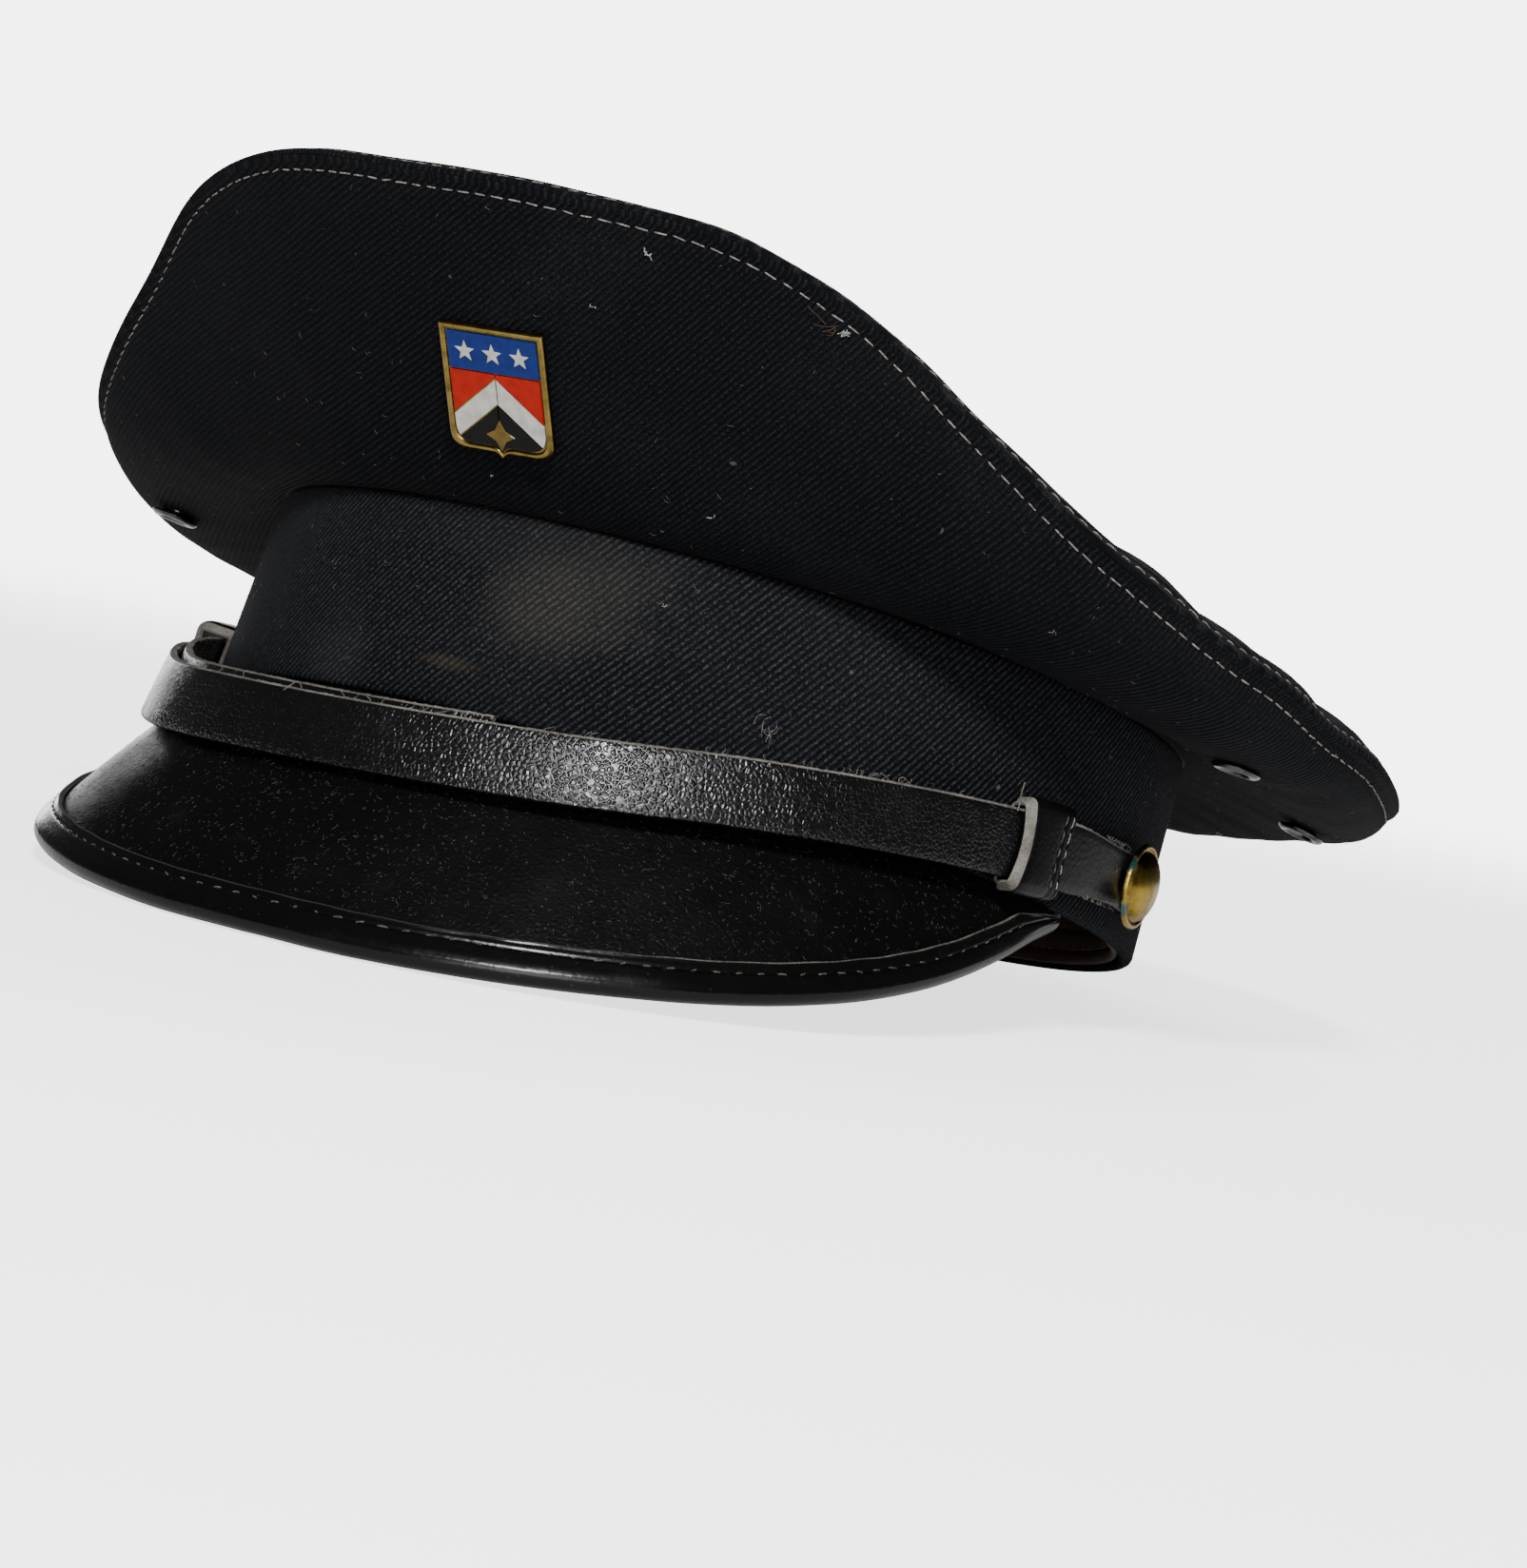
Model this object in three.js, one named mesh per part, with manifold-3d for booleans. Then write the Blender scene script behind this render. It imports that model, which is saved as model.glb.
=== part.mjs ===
// A peaked uniform cap: cloth crown and band, leather sweatband, leather peak with a bound edge,
// chin strap in two layers with its keepers and buttons, eyelets and a shield badge.
// Millimetres and degrees, +Z up, the peak towards -Y, the wearer's left side towards +X.
// The cap's own frame has the lower edge of the band at height 0. The whole cap is then tilted
// back onto its peak and the rear of the band, as it rests by itself on a table.
import * as THREE from "three";
import { mergeVertices } from "three/addons/utils/BufferGeometryUtils.js";
import Module from "manifold-3d";

const wasm = await Module();
wasm.setup();

// Driving dimensions
const gap = 0.3;
const cloth = 2.0;
const band = {
  halfWidth: 87.7, halfLength: 96.0, wall: 2.5,
  frontHeight: 36.8, sideHeight: 38.5, backHeight: 41.0,
  frontLean: 4.8, sideLean: 0.7, backLean: 0.6,
};
const sweatband = { wall: 1.2, bottom: 0.8, height: 30 };
const crown = {
  flareFront: 40, flareSide: 14, shelfFront: 9, shelfSide: 18, frontPower: 1.5,
  lift: 14, edgeRise: 4, edgePower: 24,
};
// The crown's edge, from the front (0) round to the back (180), the same on both sides. The side
// panel dips below the seam as it leaves it, and runs up straight to the edge.
const crownEdge = [
  { angle: 0, radius: 136, height: 84, dip: 0.5, run: 20 },
  { angle: 15, radius: 134.5, height: 84.5, dip: 0.5, run: 20 },
  { angle: 30, radius: 130.5, height: 80.5, dip: 1, run: 18 },
  { angle: 45, radius: 126.5, height: 65.5, dip: 2.5, run: 15 },
  { angle: 60, radius: 129, height: 52, dip: 5.5, run: 12 },
  { angle: 75, radius: 131, height: 45, dip: 7, run: 11 },
  { angle: 90, radius: 131, height: 41.5, dip: 6, run: 12 },
  { angle: 105, radius: 130, height: 41, dip: 3, run: 14.5 },
  { angle: 120, radius: 129.5, height: 42, dip: 1, run: 13 },
  { angle: 135, radius: 130, height: 43, dip: 0.5, run: 9 },
  { angle: 150, radius: 131, height: 43, dip: 0.5, run: 8 },
  { angle: 165, radius: 132, height: 43, dip: 0.5, run: 8 },
  { angle: 180, radius: 132, height: 43, dip: 0.5, run: 8 },
];
const peak = { thickness: 2.0, tipAngle: 82.5, footAlong: 4, sections: 40 };
// The peak's outer edge on either side of the middle: how far it stands out from the band, and how low
const peakOutline = [
  { angle: 0, reach: 33, drop: 47.6 },
  { angle: 10, reach: 32.6, drop: 47.1 },
  { angle: 20, reach: 31.2, drop: 45 },
  { angle: 30, reach: 29, drop: 41.5 },
  { angle: 40, reach: 25.8, drop: 36.8 },
  { angle: 50, reach: 21, drop: 30.6 },
  { angle: 60, reach: 14, drop: 23.2 },
  { angle: 70, reach: 7.2, drop: 14.8 },
  { angle: 78, reach: 2.8, drop: 7.6 },
  { angle: 83, reach: 1, drop: 3.6 },
];
// The binding: two leaves over the peak's edge, and a rolled bead that stands out past it
const binding = { leather: 0.8, leaf: 5.2, bead: 2.0, shoulder: 1.4, slope: 0.2, nose: 0.9, mostOfPeak: 0.45 };
// The outer layer runs on the inner one until it comes down onto the band between two angles
const strap = {
  width: 12.6, thickness: 1.8, layerGap: 0.5, innerRise: 1.6, innerEnd: 12, outerEnd: -75,
  endPastButton: 5, taper: 0.17, taperFrom: 79, taperTo: 90, stackedTo: 15, singleFrom: 60,
  lean: 10, leanTo: 40, uprightFrom: 90, step: 4,
};
// The chin strap's middle line: its height, and how far it stands off the band
const strapRoute = [
  { angle: -103, height: 10.5, standoff: 1.3 },
  { angle: -97, height: 10.5, standoff: 1.3 },
  { angle: -80, height: 7.3, standoff: 3.8 },
  { angle: -60, height: 1, standoff: 6.5 },
  { angle: -40, height: -6.3, standoff: 8.4 },
  { angle: -20, height: -9.6, standoff: 10.7 },
  { angle: 0, height: -9.8, standoff: 11.2 },
  { angle: 20, height: -6.9, standoff: 10.9 },
  { angle: 40, height: -0.8, standoff: 9 },
  { angle: 60, height: 4.8, standoff: 6.5 },
  { angle: 80, height: 9, standoff: 3.5 },
  { angle: 97, height: 10.7, standoff: 1.3 },
  { angle: 103, height: 10.7, standoff: 1.3 },
];
const keeper = { leather: 1.6, length: 13, leftAngle: 73, rightAngle: -71, slack: 0.4 };
const button = { angle: 97, radius: 8, rise: 3.6, rim: 0.9, shank: 2.2, stand: 0.4 };
// The dome's shape, as shares of the button's radius and rise
const dome = [{ out: 0.72, up: 0.6 }, { out: 0.4, up: 0.9 }, { out: 0, up: 1 }];
const eyelet = { outer: 4.6, inner: 2.2, flange: 0.8, hole: 3.0, stand: 0.6, outerEase: 0.5, innerEase: 0.4 };
const eyelets = [
  { name: "eyelet_left_front", angle: 86, along: 0.46 },
  { name: "eyelet_left_rear", angle: 122, along: 0.5 },
  { name: "eyelet_right_front", angle: -75, along: 0.52 },
  { name: "eyelet_right_rear", angle: -112, along: 0.5 },
];
const badge = {
  width: 20.2, height: 25.6, corner: 3.2, tip: 1.2, tipWidth: 2, tipEase: 0.6,
  plate: 0.8, rimWidth: 1.2, rimRise: 0.5, enamel: 0.35, along: 0.49, aside: 8, turn: 3,
};
// How finely the shells are divided: round the cap, up the side panel and out over the top
const around = 68;
const sideSteps = [0, 0.12, 0.26, 0.42, 0.58, 0.72, 0.86, 1];
const topSteps = [0.28, 0.54, 0.76, 0.89, 0.95, 0.98, 1];

const rad = THREE.MathUtils.degToRad;
const deg = THREE.MathUtils.radToDeg;
const mix = THREE.MathUtils.lerp;
const smoothstep = THREE.MathUtils.smoothstep;
const vec = (x, y, z) => new THREE.Vector3(x, y, z);

const material = (color, roughness, metalness = 0) =>
  new THREE.MeshStandardMaterial({ color, roughness, metalness });
const finishes = {
  cloth: material(0x15171d, 0.9),
  leather: material(0x0b0b0c, 0.45),
  lining: material(0x2b1a12, 0.6),
  keeper: material(0x14110f, 0.55),
  brass: material(0xa8842c, 0.35, 1),
  steel: material(0x1a1a1c, 0.4, 1),
  enamel: material(0xa5221c, 0.25),
};

// A closed mesh from rows of points. Each row is a loop; the rows follow each other either in a
// ring or between two ends, and an end is flat or comes to a given point. Faces are turned so that
// the volume is positive.
function skin(rows, { ring = false, first = null, last = null } = {}) {
  const loop = rows[0].length;
  const positions = rows.flat().flatMap((p) => [p.x, p.y, p.z]);
  const index = [];
  const steps = ring ? rows.length : rows.length - 1;
  for (let i = 0; i < steps; i++) {
    const next = (i + 1) % rows.length;
    for (let j = 0; j < loop; j++) {
      const k = (j + 1) % loop;
      const [a, b, c, d] = [i * loop + j, i * loop + k, next * loop + k, next * loop + j];
      index.push(a, b, c, a, c, d);
    }
  }
  if (!ring) {
    index.push(...endFaces(rows[0], 0, first, positions).reverse());
    index.push(...endFaces(rows[rows.length - 1], (rows.length - 1) * loop, last, positions));
  }
  const geometry = new THREE.BufferGeometry();
  geometry.setAttribute("position", new THREE.Float32BufferAttribute(positions, 3));
  geometry.setIndex(volume(positions, index) > 0 ? index : index.reverse());
  geometry.computeVertexNormals();
  return geometry;
}

// The triangles that close a row, in the row's own direction
function endFaces(row, start, tip, positions) {
  if (tip) {
    const hub = positions.length / 3;
    positions.push(tip.x, tip.y, tip.z);
    return row.flatMap((_, j) => [hub, start + j, start + ((j + 1) % row.length)]);
  }
  const x = row[1].clone().sub(row[0]).normalize();
  const normal = vec(0, 0, 0);
  row.forEach((p, j) => normal.add(p.clone().cross(row[(j + 1) % row.length])));
  const y = normal.normalize().cross(x);
  const flat = row.map((p) => new THREE.Vector2(p.dot(x), p.dot(y)));
  return THREE.ShapeUtils.triangulateShape(flat, []).flatMap((face) => {
    const turned = THREE.ShapeUtils.area(face.map((j) => flat[j])) < 0;
    return (turned ? face.reverse() : face).map((j) => start + j);
  });
}

function volume(positions, index) {
  const corner = (i) => new THREE.Vector3().fromArray(positions, i * 3);
  let sum = 0;
  for (let i = 0; i < index.length; i += 3) {
    sum += corner(index[i]).dot(corner(index[i + 1]).cross(corner(index[i + 2])));
  }
  return sum / 6;
}

// Joins and cuts
function toSolid(geometry, matrix = new THREE.Matrix4()) {
  const plain = geometry.clone().applyMatrix4(matrix);
  plain.deleteAttribute("normal");
  plain.deleteAttribute("uv");
  const merged = mergeVertices(plain, 1e-4);
  return new wasm.Manifold(new wasm.Mesh({
    numProp: 3,
    vertProperties: new Float32Array(merged.attributes.position.array),
    triVerts: new Uint32Array(merged.index.array),
  }));
}

function toGeometry(solid) {
  const mesh = solid.getMesh();
  const geometry = new THREE.BufferGeometry();
  geometry.setAttribute("position", new THREE.BufferAttribute(new Float32Array(mesh.vertProperties), 3));
  geometry.setIndex(new THREE.BufferAttribute(new Uint32Array(mesh.triVerts), 1));
  geometry.computeVertexNormals();
  return geometry;
}

// Smooth values between the rows of a table
function between(rows, key, angle) {
  const last = rows.length - 2;
  let i = rows.findIndex((row, at) => at > 0 && angle <= row.angle) - 1;
  i = THREE.MathUtils.clamp(i < 0 ? last : i, 0, last);
  const [a, b] = [rows[i], rows[i + 1]];
  const before = rows[Math.max(i - 1, 0)];
  const after = rows[Math.min(i + 2, rows.length - 1)];
  const t = THREE.MathUtils.clamp((angle - a.angle) / (b.angle - a.angle), 0, 1);
  const slopeA = ((b[key] - before[key]) / (b.angle - before.angle)) * (b.angle - a.angle);
  const slopeB = ((after[key] - a[key]) / (after.angle - a.angle)) * (b.angle - a.angle);
  const t2 = t * t;
  const t3 = t2 * t;
  return (2 * t3 - 3 * t2 + 1) * a[key] + (t3 - 2 * t2 + t) * slopeA
    + (3 * t2 - 2 * t3) * b[key] + (t3 - t2) * slopeB;
}

// Cosine waves round the crown's edge, so that the top can hang from the edge like a film
function waves(rows, key) {
  const count = rows.length - 1;
  return rows.map((_, k) => {
    let sum = 0;
    rows.forEach((row, i) => {
      const weight = i === 0 || i === count ? 0.5 : 1;
      sum += weight * row[key] * Math.cos(k * rad(row.angle));
    });
    return (sum * (k === 0 || k === count ? 1 : 2)) / count;
  });
}
const radiusWaves = waves(crownEdge, "radius");
const heightWaves = waves(crownEdge, "height");
const edgeRadius = (angle) => radiusWaves.reduce((sum, wave, k) => sum + wave * Math.cos(k * rad(angle)), 0);
const topHeight = (angle, u) => crown.lift * (1 - u * u) ** 2 + crown.edgeRise * (1 - u ** crown.edgePower)
  + heightWaves.reduce((sum, wave, k) => sum + wave * u ** k * Math.cos(k * rad(angle)), 0);

// The band's wall: share runs from the lower edge (0) to the seam (1)
const seamHeight = (angle) => {
  const c = Math.cos(rad(angle));
  return band.sideHeight + ((c > 0 ? band.frontHeight : band.backHeight) - band.sideHeight) * c * c;
};
const bandLean = (angle) => {
  const c = Math.cos(rad(angle));
  return mix(band.sideLean, c > 0 ? band.frontLean : band.backLean, c * c);
};
function bandPoint(angle, height, offset) {
  const out = offset - bandLean(angle) * (height / seamHeight(angle));
  const [s, c] = [Math.sin(rad(angle)), Math.cos(rad(angle))];
  return vec((band.halfWidth + out) * s, -(band.halfLength + out) * c, height);
}
const bandOutward = (angle) => vec(
  Math.sin(rad(angle)) / band.halfWidth, -Math.cos(rad(angle)) / band.halfLength, 0,
).normalize();

const turns = Array.from({ length: around }, (_, i) => (i * 360) / around - 180);

function wallRing(bottom, top, outer, wall) {
  return skin(turns.map((angle) => [
    bandPoint(angle, bottom, outer), bandPoint(angle, top(angle), outer),
    bandPoint(angle, top(angle), outer - wall), bandPoint(angle, bottom, outer - wall),
  ]), { ring: true });
}

// The crown's side panel, in the upright plane through the seam and the edge:
// x runs outward from the seam, y is the height over the seam.
function sidePlane(angle) {
  const seam = bandPoint(angle, seamHeight(angle), 0);
  const [s, c] = [Math.sin(rad(angle)), Math.cos(rad(angle))];
  const edge = vec(edgeRadius(angle) * s, -edgeRadius(angle) * c, topHeight(angle, 1));
  const outward = edge.clone().sub(seam).setZ(0).normalize();
  const place = (p) => seam.clone().addScaledVector(outward, p.x).add(vec(0, 0, p.y));
  return { seam, edge, outward, place };
}

// The slope of the top, as a unit vector outward in an upright plane through the middle
function topSlope(angle, u) {
  const step = 0.02;
  const rise = topHeight(angle, u) - topHeight(angle, u - step);
  return new THREE.Vector2(edgeRadius(angle) * step, rise).normalize();
}

function sideCurve(angle) {
  const { seam, edge } = sidePlane(angle);
  const along = topSlope(angle, 1);
  const under = new THREE.Vector2(along.y, -along.x).multiplyScalar(cloth + gap);
  const end = new THREE.Vector2(edge.clone().sub(seam).setZ(0).length(), edge.z - seam.z).add(under);
  const front = Math.max(Math.cos(rad(angle)), 0) ** crown.frontPower;
  const flare = rad(mix(crown.flareSide, crown.flareFront, front));
  const run = between(crownEdge, "run", Math.abs(angle));
  const dip = between(crownEdge, "dip", Math.abs(angle));
  const shelf = mix(crown.shelfSide, crown.shelfFront, front);
  return new THREE.CubicBezierCurve(
    new THREE.Vector2(0, gap),
    new THREE.Vector2(shelf, gap - dip),
    new THREE.Vector2(end.x - run * Math.sin(flare), end.y - run * Math.cos(flare)),
    end,
  );
}

function sidePoint(angle, share, depth) {
  const curve = sideCurve(angle);
  const tangent = curve.getTangent(share);
  const p = curve.getPoint(share).add(new THREE.Vector2(-tangent.y, tangent.x).multiplyScalar(depth));
  const { place, outward } = sidePlane(angle);
  const normal = outward.clone().multiplyScalar(tangent.y).add(vec(0, 0, -tangent.x));
  const up = outward.clone().multiplyScalar(tangent.x).add(vec(0, 0, tangent.y));
  return { at: place(p), normal, up };
}

function crownSide() {
  const rows = turns.map((angle) => {
    const { place } = sidePlane(angle);
    const curve = sideCurve(angle);
    const along = topSlope(angle, 1);
    const outer = sideSteps.map((share) => sidePoint(angle, share, 0).at);
    const inner = sideSteps.slice(1, -1).map((share) => sidePoint(angle, share, cloth).at);
    const rimInside = place(curve.getPoint(1).sub(along.clone().multiplyScalar(cloth)));
    const seamInside = place(new THREE.Vector2(-band.wall, gap));
    const seamOver = place(new THREE.Vector2(-band.wall, gap + cloth));
    return [...outer, rimInside, ...inner.reverse(), seamOver, seamInside];
  });
  return skin(rows, { ring: true });
}

function crownTop() {
  const row = (u, below) => turns.map((angle) => {
    const [s, c] = [Math.sin(rad(angle)), Math.cos(rad(angle))];
    const along = topSlope(angle, u);
    const r = edgeRadius(angle) * u + along.y * below;
    return vec(r * s, -r * c, topHeight(angle, u) - along.x * below);
  });
  const upper = topSteps.map((u) => row(u, 0));
  const lower = topSteps.map((u) => row(u, cloth));
  const centre = topHeight(0, 0);
  return skin([...upper, ...lower.reverse()], {
    first: vec(0, 0, centre),
    last: vec(0, 0, centre - cloth),
  });
}

// The peak, by sections that run down from the band's lower edge
function peakSection(angle) {
  const reach = between(peakOutline, "reach", Math.abs(angle));
  const drop = between(peakOutline, "drop", Math.abs(angle));
  const root = bandPoint(angle, 0, 0).setZ(-gap);
  const outward = bandOutward(angle);
  const edge = root.clone().addScaledVector(outward, reach).setZ(-drop);
  const down = edge.clone().sub(root);
  const length = down.length();
  down.divideScalar(length);
  const normal = outward.clone().multiplyScalar(-down.z).add(vec(0, 0, down.dot(outward)));
  const point = (along, depth) => root.clone().addScaledVector(down, along).addScaledVector(normal, -depth);
  return { root, length, point };
}

// Where the binding starts on the peak, and where the plate ends inside it
const bindingSpan = (length) => {
  const end = length - binding.bead;
  return { leaf: Math.max(end - binding.leaf, end * binding.mostOfPeak), end };
};

// The sections stand closer together towards the peak's two tips
const peakAngles = Array.from({ length: peak.sections + 1 }, (_, i) => {
  const share = (2 * i) / peak.sections - 1;
  return peak.tipAngle * Math.sin((share * Math.PI) / 2);
});

function peakPlate() {
  return skin(peakAngles.map((angle) => {
    const { root, length, point } = peakSection(angle);
    const { leaf, end } = bindingSpan(length);
    const inside = bandPoint(angle, 0, -band.wall).setZ(-gap);
    const foot = point(Math.min(peak.footAlong, leaf / 2), peak.thickness);
    return [root, point(leaf, 0), point(end, 0), point(end, peak.thickness),
      point(leaf, peak.thickness), foot, inside];
  }));
}

function peakBinding() {
  const { shoulder, slope, nose } = binding;
  const out = gap + binding.leather;
  const low = peak.thickness;
  return skin(peakAngles.map((angle) => {
    const { length, point } = peakSection(angle);
    const { leaf, end } = bindingSpan(length);
    return [
      point(leaf, -gap), point(end + gap, -gap), point(end + gap, low + gap), point(leaf, low + gap),
      point(leaf, low + out), point(end, low + out), point(end + shoulder, low + out - slope),
      point(length, low / 2 + nose), point(length, low / 2 - nose), point(end + shoulder, slope - out),
      point(end, -out), point(leaf, -out),
    ];
  }));
}

// The chin strap: a point on a layer, by its place along, across and out from the middle line
function strapFrame(angle, layer) {
  const outer = layer === "outer";
  const height = between(strapRoute, "height", angle);
  const rise = outer ? 0 : strap.innerRise;
  const doubled = smoothstep(strap.singleFrom - angle, 0, strap.singleFrom - strap.stackedTo);
  const stack = (strap.thickness + strap.layerGap) * (outer ? doubled : 0);
  const standoff = between(strapRoute, "standoff", angle) + stack;
  const leaning = smoothstep(strap.uprightFrom - Math.abs(angle), 0, strap.uprightFrom - strap.leanTo);
  const lean = rad(strap.lean) * leaning;
  const outward = bandOutward(angle);
  const wallLean = (bandLean(angle) * Math.max(height, 0)) / seamHeight(angle);
  const middle = bandPoint(angle, 0, standoff - wallLean).setZ(height);
  const across = outward.clone().multiplyScalar(-Math.sin(lean)).add(vec(0, 0, Math.cos(lean)));
  const out = outward.clone().multiplyScalar(Math.cos(lean)).add(vec(0, 0, Math.sin(lean)));
  return (up, proud) => middle.clone().addScaledVector(across, up + rise).addScaledVector(out, proud);
}

function strapLayer(layer, from, to) {
  const steps = Math.round((to - from) / strap.step);
  const deep = strap.thickness / 2;
  return skin(Array.from({ length: steps + 1 }, (_, i) => {
    const angle = mix(from, to, i / steps);
    const point = strapFrame(angle, layer);
    const taper = strap.taper * smoothstep(Math.abs(angle), strap.taperFrom, strap.taperTo);
    const half = (strap.width / 2) * (1 - taper);
    return [point(half, deep), point(-half, deep), point(-half, -deep), point(half, -deep)];
  }));
}

// A keeper is a strip of leather bent round the strap, so its rows follow each other round it
function keeperLoop(angle, layers) {
  const span = deg(keeper.length / band.halfLength);
  const ends = [angle - span / 2, angle + span / 2];
  const depth = layers * strap.thickness + (layers - 1) * strap.layerGap;
  const rise = layers > 1 ? strap.innerRise : 0;
  const high = strap.width / 2 + rise + keeper.slack;
  const low = -strap.width / 2 - keeper.slack;
  const face = strap.thickness / 2 + keeper.slack;
  const back = face - depth - 2 * keeper.slack;
  const corners = [
    { up: high, out: face, dx: 1, dy: 1 },
    { up: 0, out: face, dx: 0, dy: 1 },
    { up: low, out: face, dx: -1, dy: 1 },
    { up: low, out: back, dx: -1, dy: -1 },
    { up: 0, out: back, dx: 0, dy: -1 },
    { up: high, out: back, dx: 1, dy: -1 },
  ];
  return skin(corners.map(({ up, out, dx, dy }) => {
    const far = [up + dx * keeper.leather, out + dy * keeper.leather];
    const [a, b] = ends.map((end) => strapFrame(end, "outer"));
    return [a(up, out), b(up, out), b(...far), a(...far)];
  }), { ring: true });
}

function lathe(profile, segments) {
  const points = profile.map(([r, z]) => new THREE.Vector2(r, z));
  return new THREE.LatheGeometry(points, segments).rotateX(Math.PI / 2);
}

// A button's axis is +Z: shank, flat back, rolled rim and dome
function buttonShape() {
  const { radius, rise, rim, shank, stand } = button;
  const curve = dome.map(({ out, up }) => [radius * out, stand + rise * up]);
  return lathe([
    [0, 0], [shank, 0], [shank, stand], [radius, stand], [radius, stand + rim], [radius - rim, stand + rim],
    ...curve,
  ], 20);
}

// An eyelet's axis is +Z, its flange on the cloth and its barrel through it
function eyeletShape() {
  const { outer, inner, flange, hole, stand, outerEase, innerEase } = eyelet;
  const barrel = hole - gap;
  const face = stand + flange;
  return lathe([
    [inner, -cloth], [barrel, -cloth], [barrel, stand], [outer, stand], [outer - outerEase, face],
    [inner + innerEase, face], [inner, face - innerEase], [inner, -cloth],
  ], 16);
}

function shieldShape(inset) {
  const { corner, tip, tipWidth, tipEase } = badge;
  const w = badge.width / 2 - inset;
  const top = badge.height / 2 - inset;
  const low = -badge.height / 2 + tip + inset;
  const shape = new THREE.Shape();
  shape.moveTo(-w, top);
  shape.lineTo(-w, low + corner);
  shape.quadraticCurveTo(-w, low, -w + corner, low);
  shape.lineTo(-tipWidth, low);
  shape.quadraticCurveTo(-tipEase, low, 0, low - tip);
  shape.quadraticCurveTo(tipEase, low, tipWidth, low);
  shape.lineTo(w - corner, low);
  shape.quadraticCurveTo(w, low, w, low + corner);
  shape.lineTo(w, top);
  shape.closePath();
  return shape;
}

function shield(inset, depth) {
  return new THREE.ExtrudeGeometry(shieldShape(inset), { bevelEnabled: false, curveSegments: 4, depth });
}

function badgePlate() {
  const base = shield(0, badge.plate + badge.rimRise);
  const pocket = shield(badge.rimWidth, 2 * badge.rimRise).translate(0, 0, badge.plate);
  return toGeometry(toSolid(base).subtract(toSolid(pocket)));
}

function badgeEnamel() {
  return shield(badge.rimWidth + gap, badge.enamel).translate(0, 0, badge.plate + gap);
}

// Placing a piece whose own axis is +Z and whose own up is +Y
function seat(object, at, normal, up) {
  const z = normal.clone().normalize();
  const x = up.clone().cross(z).normalize();
  const y = z.clone().cross(x);
  object.quaternion.setFromRotationMatrix(new THREE.Matrix4().makeBasis(x, y, z));
  object.position.copy(at);
  object.updateMatrix();
  return object;
}

const cap = new THREE.Group();
function add(name, geometry, finish, parent = cap) {
  const mesh = new THREE.Mesh(geometry, finish);
  mesh.name = name;
  parent.add(mesh);
  return mesh;
}

// Cloth and leather shells
add("band", wallRing(0, seamHeight, 0, band.wall), finishes.cloth);
add("sweatband", wallRing(sweatband.bottom, () => sweatband.height, -band.wall - gap, sweatband.wall), finishes.lining);
add("crown_top", crownTop(), finishes.cloth);
add("peak", peakPlate(), finishes.leather);
add("peak_binding", peakBinding(), finishes.leather);

// Eyelets, and the crown's side with a hole for each
let side = toSolid(crownSide());
for (const { name, angle, along } of eyelets) {
  const { at, normal, up } = sidePoint(angle, along, 0);
  const mesh = seat(add(name, eyeletShape(), finishes.steel), at, normal, up);
  const drill = new THREE.CylinderGeometry(eyelet.hole, eyelet.hole, 4 * cloth, 16).rotateX(Math.PI / 2);
  side = side.subtract(toSolid(drill, mesh.matrix));
}
add("crown_side", toGeometry(side), finishes.cloth);

// Badge on the crown's front
const badgeAngle = deg(badge.aside / edgeRadius(0));
const front = sidePoint(badgeAngle, badge.along, -gap);
const badgeGroup = seat(new THREE.Group(), front.at, front.normal, front.up);
badgeGroup.rotateZ(rad(badge.turn));
cap.add(badgeGroup);
add("badge_plate", badgePlate(), finishes.brass, badgeGroup);
add("badge_enamel", badgeEnamel(), finishes.enamel, badgeGroup);

// Chin strap, keepers and buttons
const strapEnd = button.angle + strap.endPastButton;
add("strap_outer", strapLayer("outer", strap.outerEnd, strapEnd), finishes.leather);
add("strap_inner", strapLayer("inner", -strapEnd, strap.innerEnd), finishes.leather);
add("keeper_left", keeperLoop(keeper.leftAngle, 1), finishes.keeper);
add("keeper_right", keeperLoop(keeper.rightAngle, 2), finishes.keeper);
for (const sign of [1, -1]) {
  const point = strapFrame(sign * button.angle, sign > 0 ? "outer" : "inner");
  const at = point(0, strap.thickness / 2 + gap);
  const mesh = add(`button_${sign > 0 ? "left" : "right"}`, buttonShape(), finishes.brass);
  seat(mesh, at, bandOutward(sign * button.angle), vec(0, 0, 1));
}

// Rest: the underside of the peak's edge and the rear of the band both touch the table, and the
// origin is under the middle of the cap
const middle = peakSection(0);
const foot = middle.point(middle.length - binding.bead, peak.thickness + gap + binding.leather);
cap.rotation.x = -Math.atan2(-foot.z, band.halfLength - foot.y);
cap.updateMatrixWorld(true);
const bounds = new THREE.Box3().setFromObject(cap, true);
cap.position.set(0, -(bounds.min.y + bounds.max.y) / 2, -bounds.min.z);

const model = new THREE.Group();
model.add(cap);
export default model;
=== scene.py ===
# A peaked uniform cap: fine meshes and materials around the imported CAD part.
# Shapes are worked out in millimetres in the cap's own frame, in which the band's lower edge is at
# height 0, and then laid down as the part lies: tilted back onto the peak and the rear of the band.
# Angles run round the cap in degrees from the front, positive to the wearer's left.
# Materials work in metres, and their colours are linear red, green and blue.
import math

import bpy
import numpy as np
from mathutils import Euler, Matrix


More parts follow.
